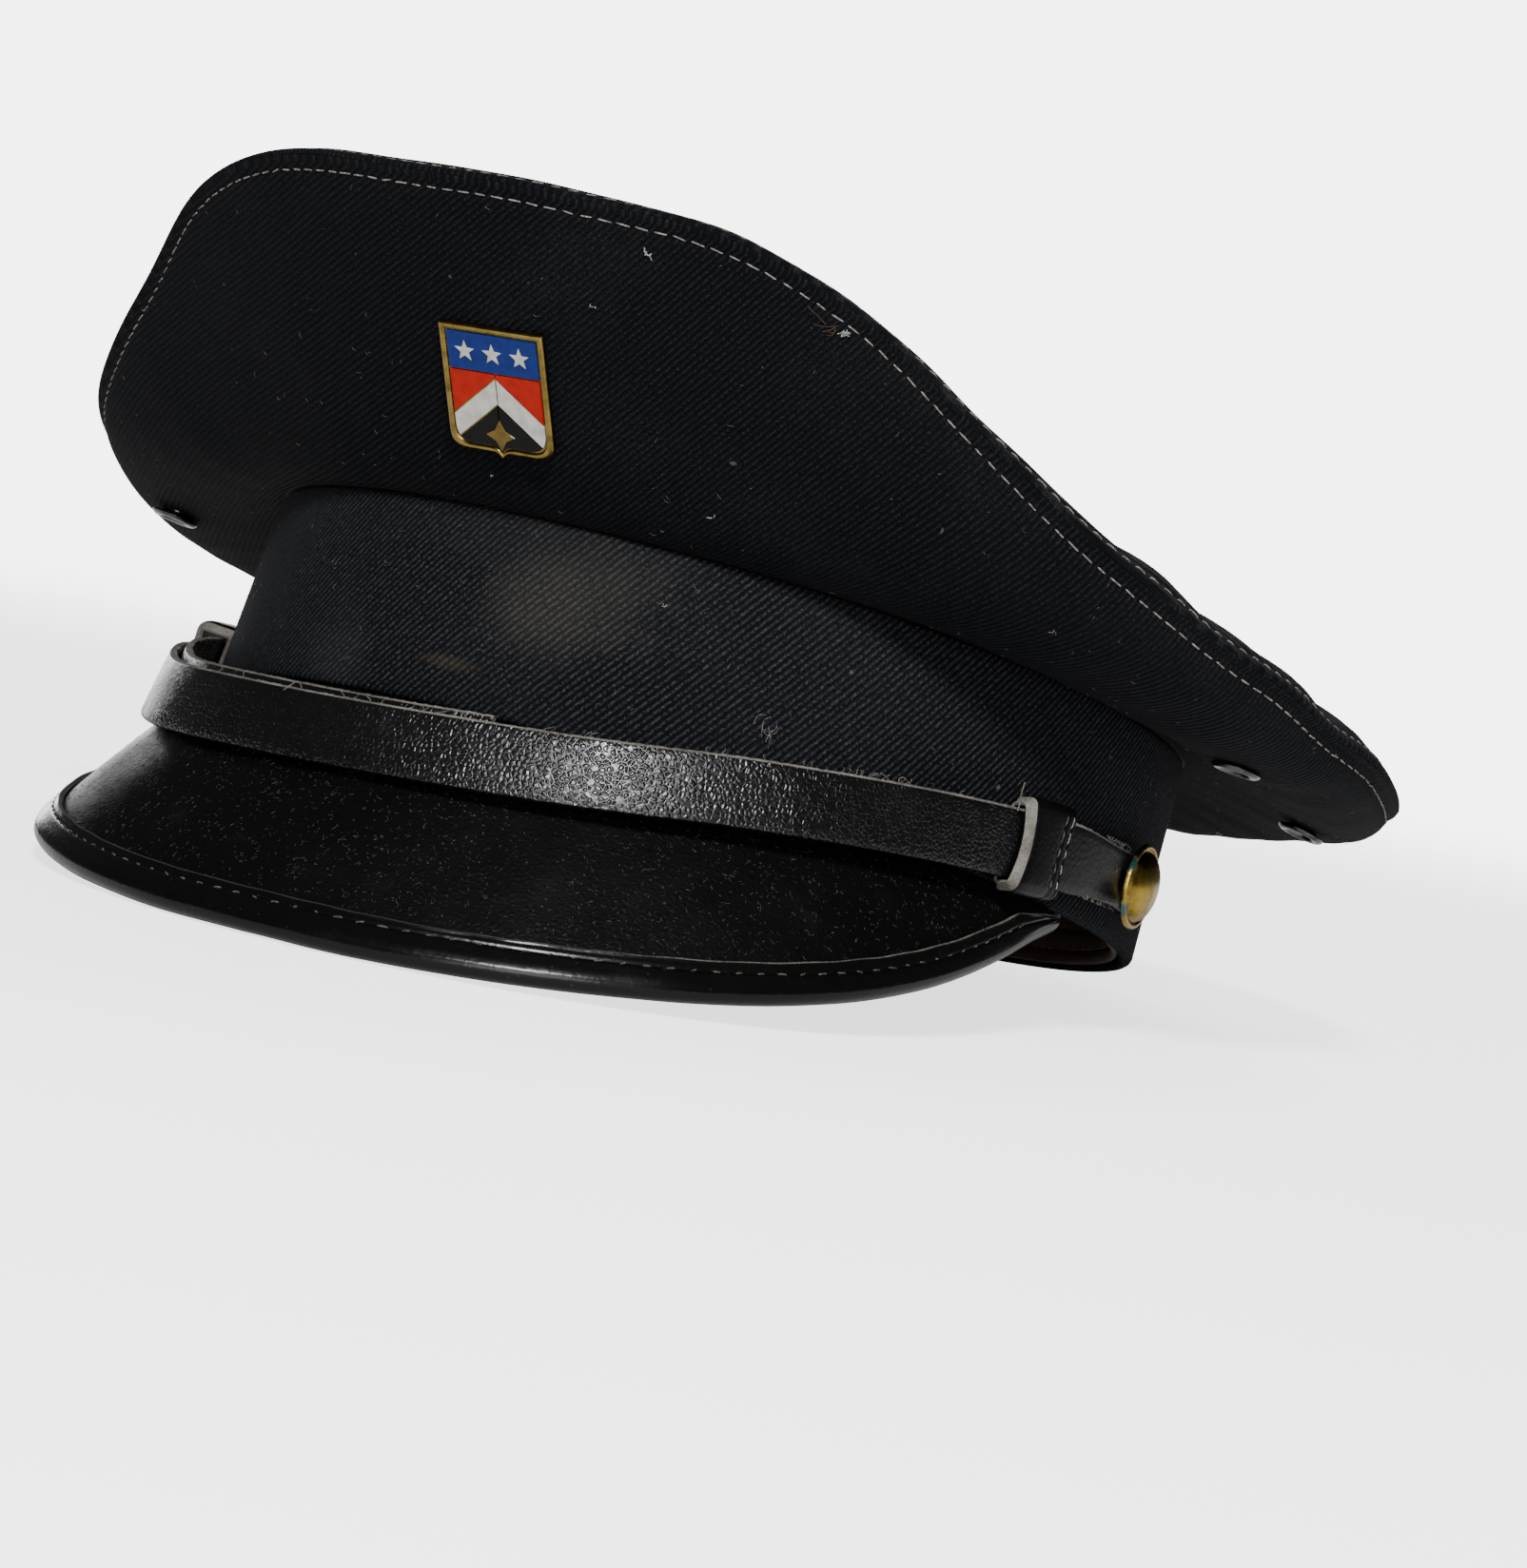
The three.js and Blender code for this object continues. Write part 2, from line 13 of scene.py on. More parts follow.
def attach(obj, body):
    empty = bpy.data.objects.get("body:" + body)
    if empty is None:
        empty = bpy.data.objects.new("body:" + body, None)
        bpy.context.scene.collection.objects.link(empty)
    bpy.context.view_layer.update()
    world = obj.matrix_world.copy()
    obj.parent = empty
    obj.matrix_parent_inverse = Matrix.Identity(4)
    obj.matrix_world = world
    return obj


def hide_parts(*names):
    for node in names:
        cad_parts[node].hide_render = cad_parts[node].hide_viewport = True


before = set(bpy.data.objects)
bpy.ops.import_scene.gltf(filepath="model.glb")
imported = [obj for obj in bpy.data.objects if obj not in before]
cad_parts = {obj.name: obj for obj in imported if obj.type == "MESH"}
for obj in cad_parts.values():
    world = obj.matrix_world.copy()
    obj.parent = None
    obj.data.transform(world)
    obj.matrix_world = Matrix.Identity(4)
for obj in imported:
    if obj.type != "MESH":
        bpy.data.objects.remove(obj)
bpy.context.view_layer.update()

# The part's resting place
TILT = 12.17128
SHIFT = -0.895
REST_LIFT = 21.0613

# The part's driving sizes
GAP = 0.3
CLOTH = 2.0
HALF_WIDTH = 87.7
HALF_LENGTH = 96.0
WALL = 2.5
FLARE_FRONT = 40
FLARE_SIDE = 14
SHELF_FRONT = 9
SHELF_SIDE = 18
FRONT_POWER = 1.5
LIFT = 14
EDGE_RISE = 4
EDGE_POWER = 24
# The band's upper edge and its inward lean: at the front, the sides and the back
SEAM_HEIGHTS = (36.8, 38.5, 41.0)
BAND_LEANS = (4.8, 0.7, 0.6)

# The crown's edge from the front (0) to the back (180): angle, radius, height, dip, run
CROWN_EDGE = [
    (0, 136, 84, 0.5, 20),
    (15, 134.5, 84.5, 0.5, 20),
    (30, 130.5, 80.5, 1, 18),
    (45, 126.5, 65.5, 2.5, 15),
    (60, 129, 52, 5.5, 12),
    (75, 131, 45, 7, 11),
    (90, 131, 41.5, 6, 12),
    (105, 130, 41, 3, 14.5),
    (120, 129.5, 42, 1, 13),
    (135, 130, 43, 0.5, 9),
    (150, 131, 43, 0.5, 8),
    (165, 132, 43, 0.5, 8),
    (180, 132, 43, 0.5, 8),
]
# The peak's edge: angle, reach from the band, drop below it
PEAK_EDGE = [
    (0, 33, 47.6),
    (10, 32.6, 47.1),
    (20, 31.2, 45),
    (30, 29, 41.5),
    (40, 25.8, 36.8),
    (50, 21, 30.6),
    (60, 14, 23.2),
    (70, 7.2, 14.8),
    (78, 2.8, 7.6),
    (83, 1, 3.6),
]
PEAK_TIP = 82.5
PEAK_THICKNESS = 2.0
LEATHER = 0.8
LEAF = 5.2
BEAD = 2.0
# The chin strap's middle line: angle, height, distance from the band
STRAP_ROUTE = [
    (-103, 10.5, 1.3),
    (-97, 10.5, 1.3),
    (-80, 7.3, 3.8),
    (-60, 1, 6.5),
    (-40, -6.3, 8.4),
    (-20, -9.6, 10.7),
    (0, -9.8, 11.2),
    (20, -6.9, 10.9),
    (40, -0.8, 9),
    (60, 4.8, 6.5),
    (80, 9, 3.5),
    (97, 10.7, 1.3),
    (103, 10.7, 1.3),
]
STRAP_WIDTH = 12.6
STRAP_THICKNESS = 1.8
LAYER_GAP = 0.5
INNER_RISE = 1.6
BUTTON_ANGLE = 97


# A column of a table at any angle, along a smooth curve through its rows
def between(table, column, angle):
    rows = np.array(table, float)
    at, value = rows[:, 0], rows[:, column]
    angle = np.asarray(angle, float)
    i = np.clip(np.searchsorted(at, angle, side="left") - 1, 0, len(at) - 2)
    before = np.maximum(i - 1, 0)
    after = np.minimum(i + 2, len(at) - 1)
    span = at[i + 1] - at[i]
    t = np.clip((angle - at[i]) / span, 0, 1)
    slope_a = (value[i + 1] - value[before]) / (at[i + 1] - at[before]) * span
    slope_b = (value[after] - value[i]) / (at[after] - at[i]) * span
    return (
        (2 * t**3 - 3 * t**2 + 1) * value[i]
        + (t**3 - 2 * t**2 + t) * slope_a
        + (3 * t**2 - 2 * t**3) * value[i + 1]
        + (t**3 - t**2) * slope_b
    )


# A column of the crown's edge as sizes of cosine waves round the cap
def waves(column):
    rows = np.array(CROWN_EDGE, float)
    count = len(rows) - 1
    weight = np.ones(len(rows))
    weight[[0, -1]] = 0.5
    k = np.arange(len(rows))
    sums = np.cos(np.outer(k, np.radians(rows[:, 0]))) @ (weight * rows[:, column])
    return sums * np.where((k == 0) | (k == count), 1, 2) / count


RADIUS_WAVES = waves(1)
HEIGHT_WAVES = waves(2)


def smoothstep(x, low, high):
    t = np.clip((x - low) / (high - low), 0, 1)
    return t * t * (3 - 2 * t)


def unit(v):
    return v / np.linalg.norm(v, axis=-1, keepdims=True)


def stack(*values):
    return np.stack(np.broadcast_arrays(*values), -1)


def round_angles(count):
    return np.arange(count) * 360 / count - 180


def ring(angle, width, length, height):
    a = np.radians(angle)
    return stack(width * np.sin(a), -length * np.cos(a), height)


# Slow, even unevenness round the cap: a few waves with fixed random phases
def ripple(angle, low, high, seed):
    source = np.random.default_rng(seed)
    total = 0 * np.asarray(angle, float)
    for k in range(low, high + 1):
        phase = source.uniform(0, 2 * math.pi)
        size = source.normal()
        total = total + size * np.cos(k * np.radians(angle) + phase)
    return total / math.sqrt(high - low + 1)


def edge_radius(angle):
    total = 0 * np.asarray(angle, float)
    for k, wave in enumerate(RADIUS_WAVES):
        total = total + wave * np.cos(k * np.radians(angle))
    return total


def top_height(angle, u):
    angle, u = np.broadcast_arrays(np.asarray(angle, float), np.asarray(u, float))
    height = LIFT * (1 - u * u) ** 2 + EDGE_RISE * (1 - u**EDGE_POWER)
    for k, wave in enumerate(HEIGHT_WAVES):
        height = height + wave * u**k * np.cos(k * np.radians(angle))
    return height


def round_the_band(angle, sizes):
    front, side, back = sizes
    c = np.cos(np.radians(angle))
    return side + (np.where(c > 0, front, back) - side) * c * c


def band_point(angle, height, offset):
    lean = round_the_band(angle, BAND_LEANS)
    out = offset - lean * height / round_the_band(angle, SEAM_HEIGHTS)
    return ring(angle, HALF_WIDTH + out, HALF_LENGTH + out, height)


def band_outward(angle):
    return unit(ring(angle, 1 / HALF_WIDTH, 1 / HALF_LENGTH, 0.0))


def top_slope(angle, u):
    step = 0.02
    rise = top_height(angle, u) - top_height(angle, u - step)
    return unit(stack(edge_radius(angle) * step, rise))


# The crown's side panel by upright planes: each plane's frame, and its curve's four points
def side_frame(angle):
    seam = band_point(angle, round_the_band(angle, SEAM_HEIGHTS), 0)
    radius = edge_radius(angle)
    edge = ring(angle, radius, radius, top_height(angle, 1))
    reach = edge - seam
    rise = reach[..., 2].copy()
    reach[..., 2] = 0
    length = np.linalg.norm(reach, axis=-1)
    outward = reach / length[..., None]
    along = top_slope(angle, 1)
    thick = CLOTH + GAP
    end = stack(length + along[..., 1] * thick, rise - along[..., 0] * thick)
    front = np.maximum(np.cos(np.radians(angle)), 0) ** FRONT_POWER
    flare = np.radians(FLARE_SIDE + (FLARE_FRONT - FLARE_SIDE) * front)
    dip = between(CROWN_EDGE, 3, np.abs(angle))
    run = between(CROWN_EDGE, 4, np.abs(angle))
    shelf = SHELF_SIDE + (SHELF_FRONT - SHELF_SIDE) * front
    corners = [
        stack(0 * run, GAP),
        stack(shelf, GAP - dip),
        end - run[..., None] * stack(np.sin(flare), np.cos(flare)),
        end,
    ]
    return seam, outward, along, corners


def place(seam, outward, p):
    return seam + outward * p[..., :1] + stack(0, 0, p[..., 1])


def side_curve(corners, t):
    t = np.asarray(t, float)[..., None]
    a, b, c, d = corners
    s = 1 - t
    point = s**3 * a + 3 * s * s * t * b + 3 * s * t * t * c + t**3 * d
    slope = unit(3 * s * s * (b - a) + 6 * s * t * (c - b) + 3 * t * t * (d - c))
    return point, slope


# From millimetres in the cap's frame to metres as the part lies
def lay_down(p):
    tilt = math.radians(TILT)
    y = p[..., 1] * math.cos(tilt) + p[..., 2] * math.sin(tilt) + SHIFT
    z = -p[..., 1] * math.sin(tilt) + p[..., 2] * math.cos(tilt) + REST_LIFT
    return stack(p[..., 0], y, z) / 1000


# Materials. Each way to add a node takes sockets or plain values and gives the new node's output.
class Nodes:
    def __init__(self, owner):
        owner.use_nodes = True
        self.tree = owner.node_tree

    def put(self, value, socket):
        if isinstance(value, bpy.types.NodeSocket):
            self.tree.links.new(value, socket)
        elif socket.type == "RGBA":
            socket.default_value = (*value, 1)
        else:
            socket.default_value = value

    def add(self, kind, inputs, output=0, **settings):
        made = self.tree.nodes.new("ShaderNode" + kind)
        for key, value in settings.items():
            setattr(made, key, value)
        for key, value in inputs.items():
            self.put(value, made.inputs[key])
        return made.outputs[output]

    def maths(self, operation, *values):
        return self.add("Math", dict(enumerate(values)), operation=operation)

    def times(self, a, b):
        return self.maths("MULTIPLY", a, b)

    def vectors(self, operation, *values, output=0):
        return self.add("VectorMath", dict(enumerate(values)), output, operation=operation)

    def mix(self, share, a, b):
        return self.add("Mix", {0: share, 6: a, 7: b}, 2, data_type="RGBA")

    def step(self, value, low, high):
        inputs = {0: value, 1: low, 2: high}
        return self.add("MapRange", inputs, interpolation_type="SMOOTHSTEP")


class Look(Nodes):
    def __init__(self, name):
        self.material = bpy.data.materials.new(name)
        super().__init__(self.material)
        self.shader = self.tree.nodes["Principled BSDF"]
        self.at = self.add("TexCoord", {}, "Object")

    def noise(self, scale, detail=2.0, roughness=0.5, vector=None, output="Fac"):
        vector = self.at if vector is None else vector
        inputs = {"Vector": vector, "Scale": scale, "Detail": detail, "Roughness": roughness}
        return self.add("TexNoise", inputs, output)

    # The object's coordinates, pushed about by a noise
    def pushed(self, scale, detail, reach):
        noise = self.noise(scale, detail, output="Color")
        return self.vectors("ADD", self.at, self.vectors("MULTIPLY", noise, (reach,) * 3))

    # Small light specks: the middles of some of a cell pattern's cells, of uneven size and outline
    def specks(self, scale, size, share):
        inputs = {"Vector": self.pushed(scale * 2.5, 2.0, 0.6 / scale), "Scale": scale}
        distance = self.add("TexVoronoi", inputs, "Distance")
        parts = self.add("SeparateColor", {0: distance.node.outputs["Color"]}).node.outputs
        near = self.maths("LESS_THAN", distance, self.times(parts[1], size))
        return self.times(near, self.maths("LESS_THAN", parts[0], share))

    # A soft uneven patch about a point of the object
    def patch(self, centre, radii, edge=(1.5, 0.7)):
        away = self.vectors("SUBTRACT", self.at, centre)
        scaled = self.vectors("MULTIPLY", away, tuple(1 / r for r in radii))
        length = self.vectors("LENGTH", scaled, output="Value")
        return self.step(self.maths("ADD", self.noise(75, 4, 0.6), length), *edge)

    def finish(self, color, roughness, height, strength, distance, more=None):
        bump = self.add("Bump", {"Height": height, "Strength": strength, "Distance": distance})
        values = {"Base Color": color, "Roughness": roughness, "Normal": bump}
        for key, value in {**values, **(more or {})}.items():
            self.put(value, self.shader.inputs[key])
        return self.material


# Twill is laid out by a UV map in which one rib is one unit wide
RIB = "ribs"
RIB_SCALE = 0.31416


def twill(name, tone_with_painted_light, patches):
    look = Look(name)
    ribs = look.add("UVMap", {}, uv_map=RIB)
    inputs = {"Vector": ribs, "Scale": RIB_SCALE, "Distortion": 0.9, "Detail Scale": 2.2}
    rib = look.add("TexWave", inputs, "Fac", bands_direction="X")
    threads = look.add("Mapping", {"Vector": ribs, "Scale": (1.6, 1.9, 1.0)})
    bead = look.noise(1.0, 2.0, 0.6, threads)
    fuzz = look.noise(2600)
    # The rib crests are coloured lighter and the grooves darker: painted light on the crests and
    # painted shade in the grooves.
    crest = look.times(look.step(rib, 0.15, 0.95), look.step(bead, 0.3, 0.75))
    light = tuple(v * tone_with_painted_light for v in (0.0115, 0.0122, 0.0148))
    color = look.mix(crest, (0.0014, 0.0016, 0.0023), light)
    # Sparse light specks on the crests are painted glints, a painted highlight on the threads.
    painted_glint = look.times(crest, look.step(fuzz, 0.52, 0.72))
    bright = tuple(v * tone_with_painted_light for v in (0.034, 0.035, 0.040))
    color = look.mix(look.times(painted_glint, 0.6), color, bright)
    wide = look.noise(28, 4, 0.6)
    dusty = look.times(look.step(wide, 0.42, 0.75), look.step(fuzz, 0.35, 0.7))
    color = look.mix(look.times(dusty, 0.3), color, (0.020, 0.020, 0.020))
    ribbed = look.maths("MULTIPLY_ADD", crest, 0.8, 0.3)
    for centre, radii, tint, strength in patches:
        soft = look.times(look.patch(centre, radii), strength)
        color = look.mix(look.times(soft, ribbed), color, tint)
    lint = look.specks(330, 0.2, 0.05)
    color = look.mix(look.times(lint, 0.5), color, (0.07, 0.07, 0.068))
    height = look.maths("MULTIPLY_ADD", bead, 0.75, rib)
    return look.finish(color, 0.8, height, 1.0, 0.00024, {
        "Specular IOR Level": 0.05,
        "Sheen Weight": 0.007,
        "Sheen Roughness": 0.5,
        "Sheen Tint": (0.75, 0.8, 0.9),
    })


# Leather: grain is how many pebbles there are to a metre, and crease is how wide their creases are
def leather(name, color, worn, grain, depth, roughness, gloss=0.5, dust=0.0, crease=0.5):
    look = Look(name)
    inputs = {"Vector": look.pushed(grain * 0.7, 1.0, 0.5 / grain), "Scale": grain}
    cells = look.add("TexVoronoi", inputs, feature="DISTANCE_TO_EDGE")
    fine = look.noise(grain * 3.1, 3, 0.6)
    height = look.maths("MULTIPLY_ADD", fine, 0.18, look.step(cells, 0.0, crease))
    wide = look.noise(90, 4, 0.65)
    base = look.mix(look.step(wide, 0.55, 0.8), color, worn)
    if dust:
        dots = look.maths("MAXIMUM", look.specks(1500, 0.3, 0.22), look.specks(620, 0.16, 0.1))
        where = look.step(look.noise(24), 0.3, 0.7)
        base = look.mix(look.times(look.times(dots, where), dust), base, (0.10, 0.09, 0.07))
    uneven = look.maths("MULTIPLY_ADD", wide, 0.25, roughness - 0.12)
    return look.finish(base, uneven, height, 1.0, depth, {"Specular IOR Level": gloss})


# A cut leather edge. lighter_past fades its light fibres in between two places across the object.
def raw_edge(name, color, deep, lighter_past=None):
    look = Look(name)
    fibres = look.noise(1500, 4, 0.7)
    share = look.maths("MULTIPLY_ADD", look.noise(160), 0.6, look.times(fibres, 0.6))
    share = look.step(share, 0.4, 0.8)
    if lighter_past:
        aside = look.add("SeparateXYZ", {0: look.at})
        share = look.times(share, look.step(aside, *lighter_past))
    return look.finish(look.mix(share, deep, color), 0.9, fibres, 1.0, 0.0003)


VERDIGRIS = (0.012, 0.05, 0.042)
VERDIGRIS_SIZE = 0.0026


# Metal, with two spots of verdigris where their middles are given
def metal(name, color, dark, roughness, spots=()):
    look = Look(name)
    base = look.mix(look.step(look.noise(350, 4, 0.6), 0.35, 0.7), color, dark)
    metallic = 1.0
    if spots:
        stains = [look.patch(centre, (VERDIGRIS_SIZE,) * 3, (1.35, 0.95)) for centre in spots]
        share = look.maths("MAXIMUM", *stains)
        base = look.mix(share, base, VERDIGRIS)
        metallic = look.maths("SUBTRACT", 1.0, share)
    flattened = look.add("Mapping", {"Vector": look.at, "Scale": (1, 1, 0.3)})
    scuffs = look.noise(900, 3, 0.6, flattened)
    uneven = look.maths("MULTIPLY_ADD", scuffs, 0.22, roughness - 0.1)
    return look.finish(base, uneven, scuffs, 0.25, 0.00008, {"Metallic": metallic})


def enamel(name, color, deep):
    look = Look(name)
    base = look.mix(look.step(look.noise(500, 3, 0.6), 0.3, 0.75), color, deep)
    return look.finish(base, 0.12, look.noise(900), 0.15, 0.00004, {"Specular IOR Level": 0.15})


def thread(name, color, deep):
    look = Look(name)
    twist = look.noise(1800)
    base = look.mix(look.step(twist, 0.35, 0.65), deep, color)
    return look.finish(base, 0.8, twist, 0.8, 0.0001)


# Faded and soiled patches in each twill: middle, radii, colour, strength
# The band's twill has more than twice the crown's tone: partly dust, and partly painted light where
# the band faces the key light.
cloth_band = twill("twill_band", 1.95, [
    ((0.0185, -0.0847, 0.0625), (0.021, 0.05, 0.014), (0.040, 0.038, 0.032), 0.8),
    ((0.008, -0.085, 0.072), (0.036, 0.05, 0.010), (0.020, 0.020, 0.019), 0.5),
    ((-0.0225, -0.0895, 0.0455), (0.012, 0.05, 0.011), (0.028, 0.028, 0.028), 0.55),
    ((0.002, -0.0918, 0.0488), (0.008, 0.02, 0.0016), (0.036, 0.028, 0.018), 0.9),
])
cloth_crown = twill("twill_crown", 0.76, [
    ((-0.005, -0.100, 0.073), (0.045, 0.05, 0.012), (0.018, 0.018, 0.017), 0.5),
])
lining = leather(
    "lining_cloth", (0.010, 0.010, 0.011), (0.018, 0.017, 0.016), 2200, 0.00004, 0.6, gloss=0.2
)
leather_sweat = leather(
    "sweatband_leather", (0.050, 0.021, 0.012), (0.085, 0.042, 0.024), 900, 0.00005, 0.5
)
leather_peak = leather(
    "peak_leather", (0.0016, 0.0016, 0.0017), (0.0034, 0.0033, 0.0031), 850, 0.00005, 0.42,
    gloss=0.12, dust=0.3,
)
leather_binding = leather(
    "binding_leather", (0.0018, 0.0018, 0.002), (0.003, 0.003, 0.003), 500, 0.00002, 0.24,
    gloss=0.22, dust=0.12,
)
leather_strap = leather(
    "strap_leather", (0.0022, 0.0022, 0.0025), (0.004, 0.004, 0.0043), 1050, 0.00009, 0.28,
    gloss=0.37, dust=0.05, crease=0.36,
)
leather_keeper = leather(
    "keeper_leather", (0.0018, 0.0018, 0.002), (0.0045, 0.0043, 0.004), 700, 0.00003, 0.36,
    gloss=0.16, dust=0.1,
)
edge_grey = raw_edge("raw_leather_edge", (0.17, 0.155, 0.135), (0.06, 0.054, 0.046))
edge_thin = raw_edge("thin_leather_edge", (0.12, 0.11, 0.095), (0.035, 0.032, 0.028))
edge_worn = raw_edge(
    "worn_leather_edge", (0.11, 0.098, 0.075), (0.0035, 0.0033, 0.003), (0.025, 0.085)
)
thread_light = thread("thread_light", (0.20, 0.185, 0.165), (0.07, 0.063, 0.055))
thread_peak = thread("thread_peak", (0.065, 0.058, 0.045), (0.015, 0.0135, 0.0105))
thread_brown = thread("thread_brown", (0.20, 0.10, 0.05), (0.08, 0.04, 0.02))
lint_white = thread("lint_white", (0.30, 0.30, 0.28), (0.18, 0.18, 0.17))
lint_dust = thread("lint_dust", (0.11, 0.105, 0.09), (0.04, 0.038, 0.033))
peak_lint = thread("peak_lint", (0.075, 0.07, 0.058), (0.03, 0.028, 0.024))
lint_rust = thread("lint_rust", (0.09, 0.035, 0.015), (0.05, 0.02, 0.01))


# Meshes
def cells_of(rows, columns, wrap_rows, wrap_columns):
    i = np.arange(rows if wrap_rows else rows - 1)
    j = np.arange(columns if wrap_columns else columns - 1)
    return [g.ravel() for g in np.meshgrid(i, j, indexing="ij")]


# A mesh object from points in the cap's frame and faces as lists of point numbers. slots gives
# each face's material, and sharp the angle from which an edge stays sharp.
def build(name, points, faces, materials, sharp, uv=None, slots=None):
    mesh = bpy.data.meshes.new(name)
    mesh.from_pydata(lay_down(points).tolist(), [], faces)
    if uv is not None:
        layer = mesh.uv_layers.new(name=RIB)
        layer.data.foreach_set("uv", np.asarray(uv, np.float32).ravel())
    for material in materials:
        mesh.materials.append(material)
    if slots is not None:
        mesh.polygons.foreach_set("material_index", np.asarray(slots, np.int32))
    mesh.polygons.foreach_set("use_smooth", np.ones(len(mesh.polygons), bool))
    mesh.set_sharp_from_angle(angle=math.radians(sharp))
    mesh.update()
    made = bpy.data.objects.new(name, mesh)
    bpy.context.scene.collection.objects.link(made)
    return made


def volume(points, faces):
    total = 0.0
    for k in range(1, faces.shape[1] - 1):
        a, b, c = points[faces[:, 0]], points[faces[:, k]], points[faces[:, k + 1]]
        total += np.einsum("ij,ij->i", a, np.cross(b, c)).sum()
    return total


# A closed shell: points[i, j] with i round its section and j along it. around says that j closes
# too; without it each end is closed by one flat face, of material cap. uv is only for a shell that
# closes, and has one more row and column to close on. slots fits the points' rows and columns.
def shell(name, points, around, materials, sharp, uv=None, slots=None, cap=0):
    rows, columns = points.shape[:2]
    i, j = cells_of(rows, columns, True, around)
    i2 = (i + 1) % rows
    j2 = (j + 1) % columns
    quads = np.stack([i * columns + j, i * columns + j2, i2 * columns + j2, i2 * columns + j], -1)
    flat = points.reshape(-1, 3)
    turned = volume(flat, quads) < 0
    faces = (quads[:, ::-1] if turned else quads).tolist()
    if uv is not None:
        corners = np.stack([uv[i, j], uv[i, j + 1], uv[i + 1, j + 1], uv[i + 1, j]], 1)
        uv = (corners[:, ::-1] if turned else corners).reshape(-1, 2)
    if slots is not None:
        slots = np.broadcast_to(slots, (rows, columns))[i, j].tolist()
    if not around:
        first = (np.arange(rows) * columns).tolist()
        last = (np.arange(rows) * columns + columns - 1).tolist()
        faces += [first if turned else first[::-1], last[::-1] if turned else last]
        if slots is not None:
            slots += [cap, cap]
    return build(name, flat, faces, materials, sharp, uv, slots)


def finish_piece(piece, slot_name, *replaced):
    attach(piece, "root")
    if replaced:
        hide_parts(*replaced)


# The faces of a closed solid made of rings of points one after another, with flat ends
def ring_faces(rings, sides):
    faces = []
    for i in range(rings - 1):
        for j in range(sides):
            a = i * sides + j
            b = i * sides + (j + 1) % sides
            faces.append([a, b, b + sides, a + sides])
    faces.append(list(range(sides))[::-1])
    faces.append([(rings - 1) * sides + j for j in range(sides)])
    return faces


# A closed tube about a path: radius is one number, or one for each point of the path
def tube(path, side, up, radius, sides):
    turn = np.arange(sides)[:, None] * 2 * math.pi / sides
    circle = side[:, None] * np.cos(turn) + up[:, None] * np.sin(turn)
    return (path[:, None] + circle * radius).reshape(-1, 3), ring_faces(len(path), sides)


# The points and faces of several solids as one list of each
def joined(solids):
    points = np.concatenate([own for own, _ in solids])
    faces, start = [], 0
    for own, own_faces in solids:
        faces += [[start + k for k in face] for face in own_faces]
        start += len(own)
    return points, faces


# Stitches: pitch, length, radius
EDGE_STITCH = (3.3, 2.4, 0.15)
SWEATBAND_STITCH = (3.0, 2.1, 0.2)
PEAK_STITCH = (4.0, 1.5, 0.17)
KEEPER_STITCH = (2.6, 1.9, 0.13)


# Thread stitches along a line of points on a surface, each one sinking in at its ends
def stitches(name, line, normals, sizes, material, seed, lift=0.1, jitter=0.12):
    pitch, length, radius = sizes
    source = np.random.default_rng(seed)
    steps = np.linalg.norm(np.diff(line, axis=0), axis=1)
    run = np.concatenate([[0], np.cumsum(steps)])
    count = int(run[-1] / pitch)
    at = (np.arange(count) + 0.5) * run[-1] / count
    t = np.linspace(-1, 1, 7)
    solids = []

    def sample(values, where):
        return np.stack([np.interp(where, run, values[:, k]) for k in range(3)], -1)

    for k in range(count):
        size = length * (1 + source.normal() * jitter)
        where = np.clip(at[k] + t * size / 2, 0, run[-1])
        centre = sample(line, where)
        up = unit(sample(normals, where))
        across = np.cross(unit(np.gradient(centre, axis=0)), up)
        slant = source.normal() * jitter * 0.6
        rise = lift * (1 - 2.2 * t**4) * (1 + source.normal() * 0.2)
        centre = centre + up * rise[:, None] + across * (slant * t)[:, None]
        thick = radius * np.sqrt(np.clip(1 - 0.9 * t**6, 0, 1))
        solids.append(tube(centre, across, up, thick[:, None, None], 6))
    return build(name, *joined(solids), [material], 60)


# Thin loose strands, each a closed tube through a few points given in the cap's frame
def strands(name, lines, radii, material, sides=4, fine=3):
    solids = []
    for line, radius in zip(lines, radii):
        line = np.asarray(line, float)
        t = np.linspace(0, len(line) - 1, fine * (len(line) - 1) + 1)
        path = np.stack([np.interp(t, np.arange(len(line)), line[:, k]) for k in range(3)], -1)
        for _ in range(fine):
            path[1:-1] = (path[:-2] + 2 * path[1:-1] + path[2:]) / 4
        along = unit(np.gradient(path, axis=0))
        side = unit(np.cross(along, stack(0.31, 0.52, 0.79)))
        solids.append(tube(path, side, np.cross(along, side), radius, sides))
    return build(name, *joined(solids), [material], 80)


# The crown's side panel and its top meet in a raised edge, with a row of stitches in each
COLUMNS = 1200
PITCH = EDGE_STITCH[0]
EDGE_ROW = 1.6
RIB_PITCH = 1.08
SIDE_RIBS = math.radians(37)
TOP_RIBS = math.radians(52)
# The side panel's ribs are laid out on a flat fan: its turn by the cap's own, and its inner radius
PATTERN_TURN = 0.82
PATTERN_RADIUS = 112.0
# The two turned edges' sections: how far out past the edge, and how far below the top's surface
SIDE_BORDER = [(0.34, 1.85), (0.42, 1.5), (0.42, 1.15), (-0.3, 1.13), (-1.6, 1.25)]
TOP_BORDER = [(-0.5, 0.05), (0.0, 0.26), (0.34, 0.62), (0.42, 0.95), (0.4, 1.1), (-1.4, 1.08)]
